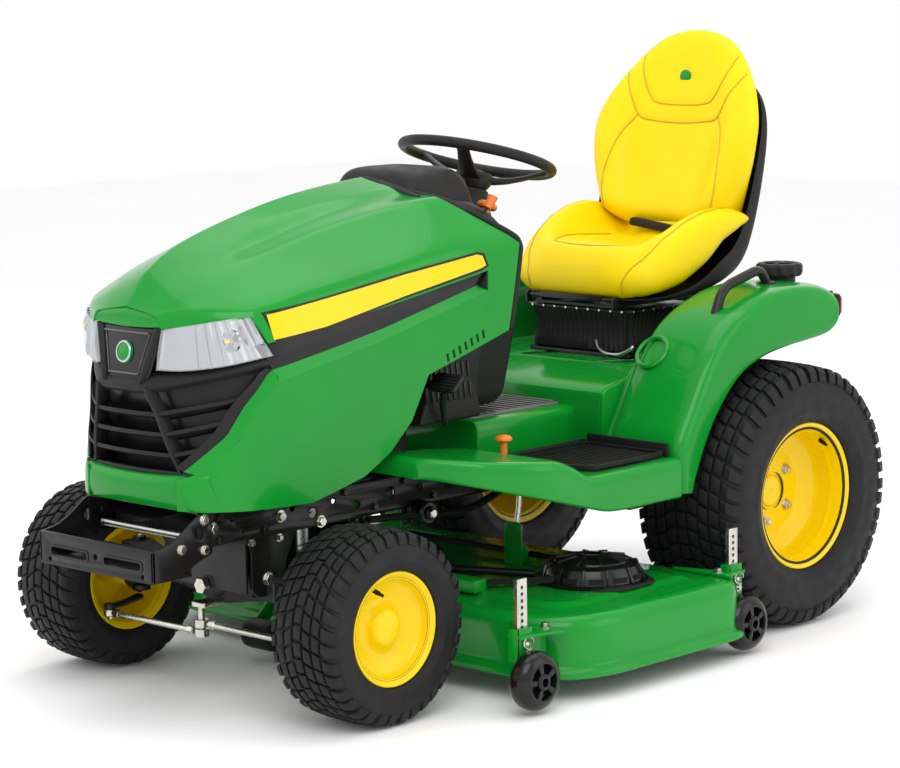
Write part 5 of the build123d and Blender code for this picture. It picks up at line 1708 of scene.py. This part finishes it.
pipe = smooth_line([(100, -380, 470), (120, -420, 450), (124, -470, 452), (118, -520, 470)], 6)
piece("exhaust_pipe", tube(pipe, 15, 18), STEEL, "chassis", slot="engine_alloy")
filter_can = lathe([(0, 0.01), (0, 30), (3, 34), (60, 34), (68, 28), (70, 0.01)], "X", (0, 0, 0),
                   40)
piece("oil_filter", filter_can.moved(60, -480, 486), YELLOW, "chassis")
battery = rounded(oblong(-60, 110, -268, -210), 6, 3)
piece("battery", prism(battery, "Z", 442, 590), PLASTIC, "chassis", bevel=3)

# Pedals and the mushroom button on the footrests ------------------------------------------------

brake_low, brake_high = [drawn(p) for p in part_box("brake_pedal")]
brake_pad = prism(rounded(oblong(-40, 40, -24, 24), 10, 4), "Z", -4, 5)
brake_ribs = total(slab(-34, 34, y - 2.5, y + 2.5, 5, 8) for y in (-16, -8, 0, 8, 16))
centre = Vector((brake_high.x - 44, brake_low.y + 30, brake_high.z - 20))
piece("brake_arm",
      tube(smooth_line([(brake_low.x + 8, brake_high.y - 4, brake_low.z + 6),
                        (brake_low.x + 20, brake_high.y - 24, (brake_low.z + brake_high.z) / 2),
                        (centre.x - 8, centre.y + 6, centre.z - 6)], 8), 7, 12), BLACK, "brake",
      ["brake_pedal"])
piece("brake_pad", brake_pad.turned("X", 42).moved(*centre), BLACK, "brake", bevel=2)
piece("brake_pad_ribs", brake_ribs.turned("X", 42).moved(*centre), RUBBER, "brake", bevel=1)
for name in ("forward", "reverse"):
    low_at, high_at = [drawn(p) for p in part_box(f"{name}_pedal")]
    half_x, half_y = (high_at.x - low_at.x) / 2, (high_at.y - low_at.y) / 2
    pad_outline = rounded(oblong(-half_x, half_x, -half_y, half_y), 16, 5)
    mid = (low_at + high_at) / 2
    pad = prism(pad_outline, "Z", -4, 4).turned("X", -12)
    grips = total(slab(-half_x + 8, half_x - 8, y - 2.5, y + 2.5, 3, 7)
                  for y in range(-28, 32, 12)).turned("X", -12)
    piece(f"{name}_pad", pad.moved(*mid), RUBBER, name, [f"{name}_pedal"], bevel=2)
    piece(f"{name}_ribs", grips.moved(*mid), RUBBER, name, bevel=1)
button_low, button_high = [drawn(p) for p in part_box("diff_lock_button")]
button_at = (button_low + button_high) / 2
mushroom = [(button_low.z - 30, 8), (button_high.z - 15, 8), (button_high.z - 12, 12),
            (button_high.z - 10, 18.6), (button_high.z - 5, 19), (button_high.z - 1, 15),
            (button_high.z + 1, 8), (button_high.z + 1.4, 0.01)]
piece("diff_lock_mushroom", lathe(mushroom, "Z", (button_at.x, button_at.y, 0), 48), ORANGE,
      "diff_lock", ["diff_lock_button"], sharp=50)
piece("diff_lock_collar", lathe([(-9, 13), (-2, 13), (0, 11), (0, 9.2), (-9, 9.2)], "Z",
                                (button_at.x, button_at.y, button_low.z + 2), 32, closed=True),
      PLASTIC, "chassis")


# Mower deck -----------------------------------------------------------------------------------


def deck_ring(inset, z):
    half, front, rear = 653 - inset, -311 + inset, 301 - inset
    radii = [max(190 - inset, 20), max(190 - inset, 20), max(70 - inset, 10), max(70 - inset, 10)]
    loop = rounded(oblong(-half, half, front, rear), radii, 14)
    return [(x, y, z) for x, y in loop]


deck_rows = [deck_ring(inset, z) for inset, z in ((200, 171), (40, 171), (16, 168), (7, 156),
                                                  (5, 60), (3, 52), (-4, 48.5), (-12, 49),
                                                  (-16, 53), (-16, 60), (-12, 65), (-5, 68),
                                                  (-1, 73), (0, 80), (0, 148), (3, 162), (9, 171),
                                                  (19, 177), (30, 178.5), (84, 179), (92, 181),
                                                  (100, 187), (112, 188), (200, 188))]
outlet = cutter(slab(-720, -600, -125, 125, 58, 158))
piece("deck_body", grid(deck_rows, round_columns=True, caps=True), GREEN, "deck", ["deck_shell"],
      sharp=40, cut=[outlet])
drop([outlet])

pressings = []
for x, y, length in ((250, -140, 150), (250, 190, 170), (-250, -140, 150), (-250, 190, 170)):
    pressings.append(prism(rounded(oblong(x - length / 2, x + length / 2, y - 8, y + 8), 7),
                           "Z", 187, 192))
piece("deck_pressings", total(pressings), GREEN, "deck", bevel=3, segments=3)
cross = [slab(-330, 330, -236, -196, 186, 214)]
cross += [prism(rounded(oblong(x - 26, x + 26, 187, 286), [0, 0, 14, 14], 4), "Y", 40,
                46) for x in (-190, 190)]
cross += [prism([(40, 187), (120, 187), (46, 262)], "X", x - 3, x + 3) for x in (-190, 190)]
piece("deck_uprights", total(cross), GREEN, "deck", bevel=3, segments=3)

# Height-adjusting posts, their sleeves, clips and bolts.
sleeves, posts, clips, studs, knives = [], [], [], [], []
for y, foot, lift in ((-380, -1, 0), (318, 1, 22)):
    for sign in (1, -1):
        for k in range(9):
            knives.append(cutter(bar("X", (sign * 595, y, 150 + 14 * k), 4, -16, 16, 0.3, 16)))
    posts.append(slab(589, 599, y - 15, y + 15, 64, 280))
    inner_y = -288 if foot < 0 else 262
    wing = rounded([(470, inner_y), (640, inner_y), (618, y + 24 * -foot), (618, y + 22 * foot),
                    (572, y + 22 * foot), (566, y + 24 * -foot)], [4, 4, 14, 8, 8, 14], 4)
    sleeves.append(prism(wing, "Z", 158 + lift, 164 + lift))
    sleeves.append(slab(600, 606, min(y - 22, y + 22), y + 22, 108 + lift, 178 + lift))
    sleeves.append(slab(582, 588, y - 22, y + 22, 108 + lift, 178 + lift))
    sleeves.append(slab(582, 606, y - 24, y - 18, 108 + lift, 178 + lift))
    web = [(inner_y, 92), (inner_y, 162 + lift), (y, 162 + lift), (y, 116 + lift)]
    sleeves.append(prism(web, "X", 576, 582))
    ring_line = [(611 + 2 * math.sin(a * 0.7), y + 6 + 13 * math.cos(a * 0.42),
                  146 + lift + 13 * math.sin(a * 0.42)) for a in range(13)]
    clips.append(tube(ring_line, 2.2, 8))
    clips.append(bar("X", (0, y, 146 + lift), 5, 578, 614, 1, 16))
    studs.append(hex_bolt("Z", (590, inner_y + (14 if foot > 0 else -14), 165 + lift), 8, 8))
    studs.append(hex_bolt("X", (606, y + 10, 124 + lift), 6, 5))
    studs.append(bar("X", (0, y, 72), 7, 588, 606, 1, 20))
piece("gauge_posts", total(posts).both(), ZINC, "deck", cut=knives, bevel=1)
drop(knives)
piece("gauge_sleeves", total(sleeves).both(), GREEN, "deck", bevel=2)
piece("gauge_clips", total(clips).both(), ZINC, "deck")
piece("deck_bolts", total(studs).both(), ZINC, "deck")

# Belt covers: flanged drums with a domed, ribbed top and vented sides.
cover = [(187, 0.01), (187, 124), (191, 126), (194, 122), (196, 113), (214, 108), (226, 102),
         (231, 94), (233, 84), (236, 82), (244, 40), (246, 22), (243, 18), (243, 0.01)]
cover_ribs, vents, dark = [], [], []
for k in range(10):
    rib = prism([(84, 231), (40, 238), (40, 246), (84, 239)], "Y", -2.5, 2.5)
    cover_ribs.append(rib.turned("Z", 36 * k))
for k in range(12):
    dark.append(slab(104, 112, -16, 16, 199, 210).turned("Z", 30 * k + 15))
    vent = prism([(112, 196), (118, 196), (104, 229), (99, 229)], "Y", -4, 4)
    vents.append(vent.turned("Z", 30 * k))
for side, sign in SIDES:
    place = (sign * 430, 35, 0)
    piece(f"{side}_belt_cover", lathe(cover, "Z", place, 96), GLOSS, "deck",
          ["belt_covers"] if sign > 0 else (), slot="black_plastic", sharp=28)
    piece(f"{side}_cover_ribs", (total(cover_ribs) + total(vents)).moved(*place), GLOSS, "deck",
          slot="black_plastic", bevel=1.2)
    piece(f"{side}_cover_slots", total(dark).moved(*place), RUBBER, "deck", slot="black_plastic")
    skirt = rounded([(sign * 300, -60), (sign * 430, -92), (sign * 560, -40), (sign * 560, 110),
                     (sign * 430, 164), (sign * 300, 120)], 40, 6)
    piece(f"{side}_cover_base", prism(skirt, "Z", 186, 193), PLASTIC, "deck", bevel=2)


def tangent_loop(wheels, steps=28):
    """Closed belt line round (x, y, radius) pulleys given counter-clockwise."""
    line = []
    count = len(wheels)
    for i in range(count):
        (x0, y0, r0), (x1, y1, r1), (x2, y2, r2) = wheels[i - 1], wheels[i], wheels[(i + 1) % count]
        angles = []
        for (ax, ay, ar), (bx, by, br) in (((x0, y0, r0), (x1, y1, r1)),
                                           ((x1, y1, r1), (x2, y2, r2))):
            way, gap = math.atan2(by - ay, bx - ax), math.hypot(bx - ax, by - ay)
            angles.append(way - math.acos((ar - br) / gap))
        start, end = angles
        while end < start:
            end += math.tau
        for k in range(steps + 1):
            a = start + (end - start) * k / steps
            line.append((x1 + r1 * math.cos(a), y1 + r1 * math.sin(a)))
    return line


belt_line = tangent_loop([(0, -490, 55), (430, 35, 62), (-430, 35, 62)])
belt_rows = [[(x, y, z) for x, y in belt_line] for z in (197, 211)]
inner_line = tangent_loop([(0, -490, 47), (430, 35, 54), (-430, 35, 54)])
belt_rows += [[(x, y, z) for x, y in inner_line] for z in (208, 200)]
piece("drive_belt", grid(belt_rows, round_rows=True, round_columns=True), RUBBER, "deck",
      ["deck_belt"], sharp=60)
guard_line = smooth_line([(330, -42, 200), (200, -120, 204), (60, -180, 204), (0, -190, 204)], 6)
guard = tube(guard_line, 9, 12).both()
piece("belt_guide", guard, BLACK, "deck")
IDLER = [(-9, 16), (-9, 38), (-7, 40), (-5, 38), (-4, 33), (4, 33), (5, 38), (7, 40), (9, 38),
         (9, 16)]
idlers = [lathe(IDLER, "Z", (x, -262, 204), 40, closed=True) for x in (150, -150)]
piece("belt_idlers", total(idlers), ZINC, "deck", sharp=40)
idler_bolts = [hex_bolt("Z", (x, -262, 213), 9, 9)
               + bar("Z", (x, -262, 0), 15, 188, 214, 1, 20) for x in (150, -150)]
piece("idler_bolts", total(idler_bolts), ZINC, "deck")
pulley = lathe([(190, 14), (190, 66), (193, 70), (197, 66), (199, 58), (209, 58), (211, 66),
                (215, 70), (218, 66), (218, 14)], "Z", (0, -80, 0), 56, closed=True)
hat = lathe([(186, 62), (200, 40), (226, 30), (232, 22), (232, 0.01)], "Z", (0, -80, 0), 40)
piece("centre_pulley", pulley + hat, BLACK, "deck", sharp=40)
links = []
for sign in (1, -1):
    links.append(tube(smooth_line([(sign * 150, -640, 268), (sign * 160, -520, 246),
                                   (sign * 172, -380, 222), (sign * 178, -228, 214)], 6), 11, 14,
                      0.6))
draft = piece("draft_links", total(links), BLACK, None)
lifts = []
for sign in (1, -1):
    lifts.append(tube(smooth_line([(sign * 190, 60, 396), (sign * 194, 60, 340),
                                   (sign * 192, 52, 274)], 6), 6, 12))
    lifts.append(hex_bolt("X", (sign * 196, 52, 272), 9, 8, sign))
lift = piece("lift_links", total(lifts), ZINC, None)
at((0, -600, 260))
at((0, -260, 215))
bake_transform(draft)
at((0, 60, 390))
at((0, 60, 285))
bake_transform(lift)
rock = bar("X", (0, 60, 398), 13, -205, 205, 2, 28)
rock_arms = [prism(rounded([(40, 384), (80, 384), (84, 412), (46, 416)], 12), "X", s * 190 - 4,
                   s * 190 + 4) for s in (1, -1)]
piece("lift_shaft", rock + total(rock_arms), BLACK, "chassis", bevel=2)
arm_line = smooth_line([(196, -420, 360), (200, -300, 352), (200, -120, 340), (198, 20, 372)], 8)
piece("lift_rods", tube(arm_line, 11, 14, 0.7).both(), BLACK, "chassis")
reel = bar("X", (0, -250, 352), 26, 176, 214, 4, 32) + bar("X", (0, -250, 352), 15, 214, 222, 3, 24)
piece("lift_bosses", reel.both(), BLACK, "chassis")
piece("lift_boss_ends", bar("X", (0, -250, 352), 10, 221, 228, 2, 20).both(), ZINC, "chassis")

# Discharge chute and roller ---------------------------------------------------------------------

chute_rows = []
for x, half, top, low in ((-660, 148, 172, 66), (-700, 152, 170, 64), (-780, 155, 160, 62),
                          (-860, 156, 142, 61), (-920, 152, 122, 60), (-942, 146, 110, 60)):
    loop = rounded([(-half, low), (-half, top), (half, top), (half, low)], [0, 34, 34, 0], 6)
    chute_rows.append([(x, y, z) for y, z in loop])
piece("chute_shell", grid(chute_rows), PLASTIC, "chute", ["discharge_chute"], thick=5, sharp=50)
chute_ribs = []
for y in (-90, -30, 30, 90):
    chute_ribs.append(prism([(-676, 168), (-676, 177), (-780, 165), (-900, 134), (-900, 124)], "Y",
                            y - 3, y + 3))
piece("chute_ribs", total(chute_ribs), PLASTIC, "chute", bevel=1.5)
piece("chute_hinge", bar("Y", (-664, 0, 172), 6, -150, 150, 1, 16), ZINC, "chute")
roller_at = drawn(middle("deck_roller"))
roll = [(-46, 9), (-46, 28), (-42, 33), (-30, 34), (30, 34), (42, 33), (46, 28), (46, 9)]
piece("scalp_roller", lathe(roll, "X", roller_at, 48, closed=True), PLASTIC, "roller",
      ["deck_roller"], sharp=50)
brackets = [prism(rounded([(-440, 44), (-400, 44), (-300, 120), (-300, 150), (-330, 150)], 10), "X",
                  roller_at.x + s * 52 - 3, roller_at.x + s * 52 + 3) for s in (1, -1)]
piece("roller_brackets", total(brackets) + bar("X", roller_at, 8, -58, 58, 1, 16), GREEN, "deck",
      bevel=1.5)

# Finishes for the CAD pieces that still show -----------------------------------------------------

BY_SLOT = {"green_paint": GREEN, "yellow_paint": YELLOW, "black_paint": BLACK,
           "black_plastic": PLASTIC, "gloss_black_plastic": GLOSS, "orange_plastic": ORANGE,
           "seat_vinyl": VINYL, "rubber": RUBBER, "tyre_rubber": TYRE, "bare_steel": STEEL,
           "cast_iron": IRON, "engine_alloy": ALLOY, "lens_clear": GLOSS}
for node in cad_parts.values():
    slot_name = node.data.materials[0].name.split(".")[0] if node.data.materials else "black_paint"
    node.data.materials.clear()
    node.data.materials.append(BY_SLOT.get(slot_name, BLACK))

# Stage ----------------------------------------------------------------------------------------

FLOOR_HALF = 12000
floor_span = (-FLOOR_HALF, FLOOR_HALF)
floor_sheet = grid([[(x, y, 0) for x in floor_span] for y in floor_span])
floor_paint = finish("studio_floor", (0.96, 0.96, 0.96), 0.985, 0.75, 0.04, tone=1.2)
stage_floor = piece("studio_floor", floor_sheet, floor_paint, "chassis", slot="rubber")
stage_floor.parent = None


def light(name, place, target, size, power, colour=(1, 1, 1)):
    """Soft square lamp facing a point; places are in millimetres."""
    data = bpy.data.lights.new(name, "AREA")
    data.size = size
    data.energy = power
    data.color = colour
    lamp = bpy.data.objects.new(name, data)
    lamp.location = at(place)
    lamp.rotation_mode = "QUATERNION"
    lamp.rotation_quaternion = (at(target) - at(place)).to_track_quat("-Z", "Y")
    bpy.context.scene.collection.objects.link(lamp)


TARGET = (0, 0, 600)
light("key", (3200, -3000, 4200), TARGET, 3.2, 95)
light("fill", (-3600, -3200, 2600), TARGET, 3.5, 25)
light("side", (4200, 1800, 1900), TARGET, 2.6, 22)
light("top", (0, 300, 4600), TARGET, 3.6, 55)
light("back", (-1500, 4200, 3200), TARGET, 3.0, 20)

world = bpy.data.worlds.new("studio")
world.use_nodes = True
sky = world.node_tree.nodes["Background"]
sky.inputs["Color"].default_value = (1, 1, 1, 1)
sky.inputs["Strength"].default_value = 1.0
bpy.context.scene.world = world
bpy.context.scene.view_settings.view_transform = "Standard"

CAMERA_PLACE = (4507.8, -4683.6, 1518.5)
CAMERA_ANGLES = (43.9045, 9.3345, -0.856)
CAMERA_LENS, CAMERA_SHIFT = 116.12, (0.0138, 0.0661)
azimuth, elevation, roll = [math.radians(angle) for angle in CAMERA_ANGLES]
back = Vector((math.sin(azimuth) * math.cos(elevation), -math.cos(azimuth) * math.cos(elevation),
               math.sin(elevation)))
right = Vector((0, 0, 1)).cross(back).normalized()
above = back.cross(right)
right, above = (right * math.cos(roll) + above * math.sin(roll),
                above * math.cos(roll) - right * math.sin(roll))
lens = bpy.data.cameras.new("camera")
lens.sensor_width = 36
lens.lens = CAMERA_LENS
lens.shift_x, lens.shift_y = CAMERA_SHIFT
lens.clip_end = 60
camera = bpy.data.objects.new("camera", lens)
facing = Matrix((right, above, back)).transposed().to_4x4()
camera.matrix_world = Matrix.Translation(at(CAMERA_PLACE)) @ facing
bpy.context.scene.collection.objects.link(camera)
bpy.context.scene.camera = camera
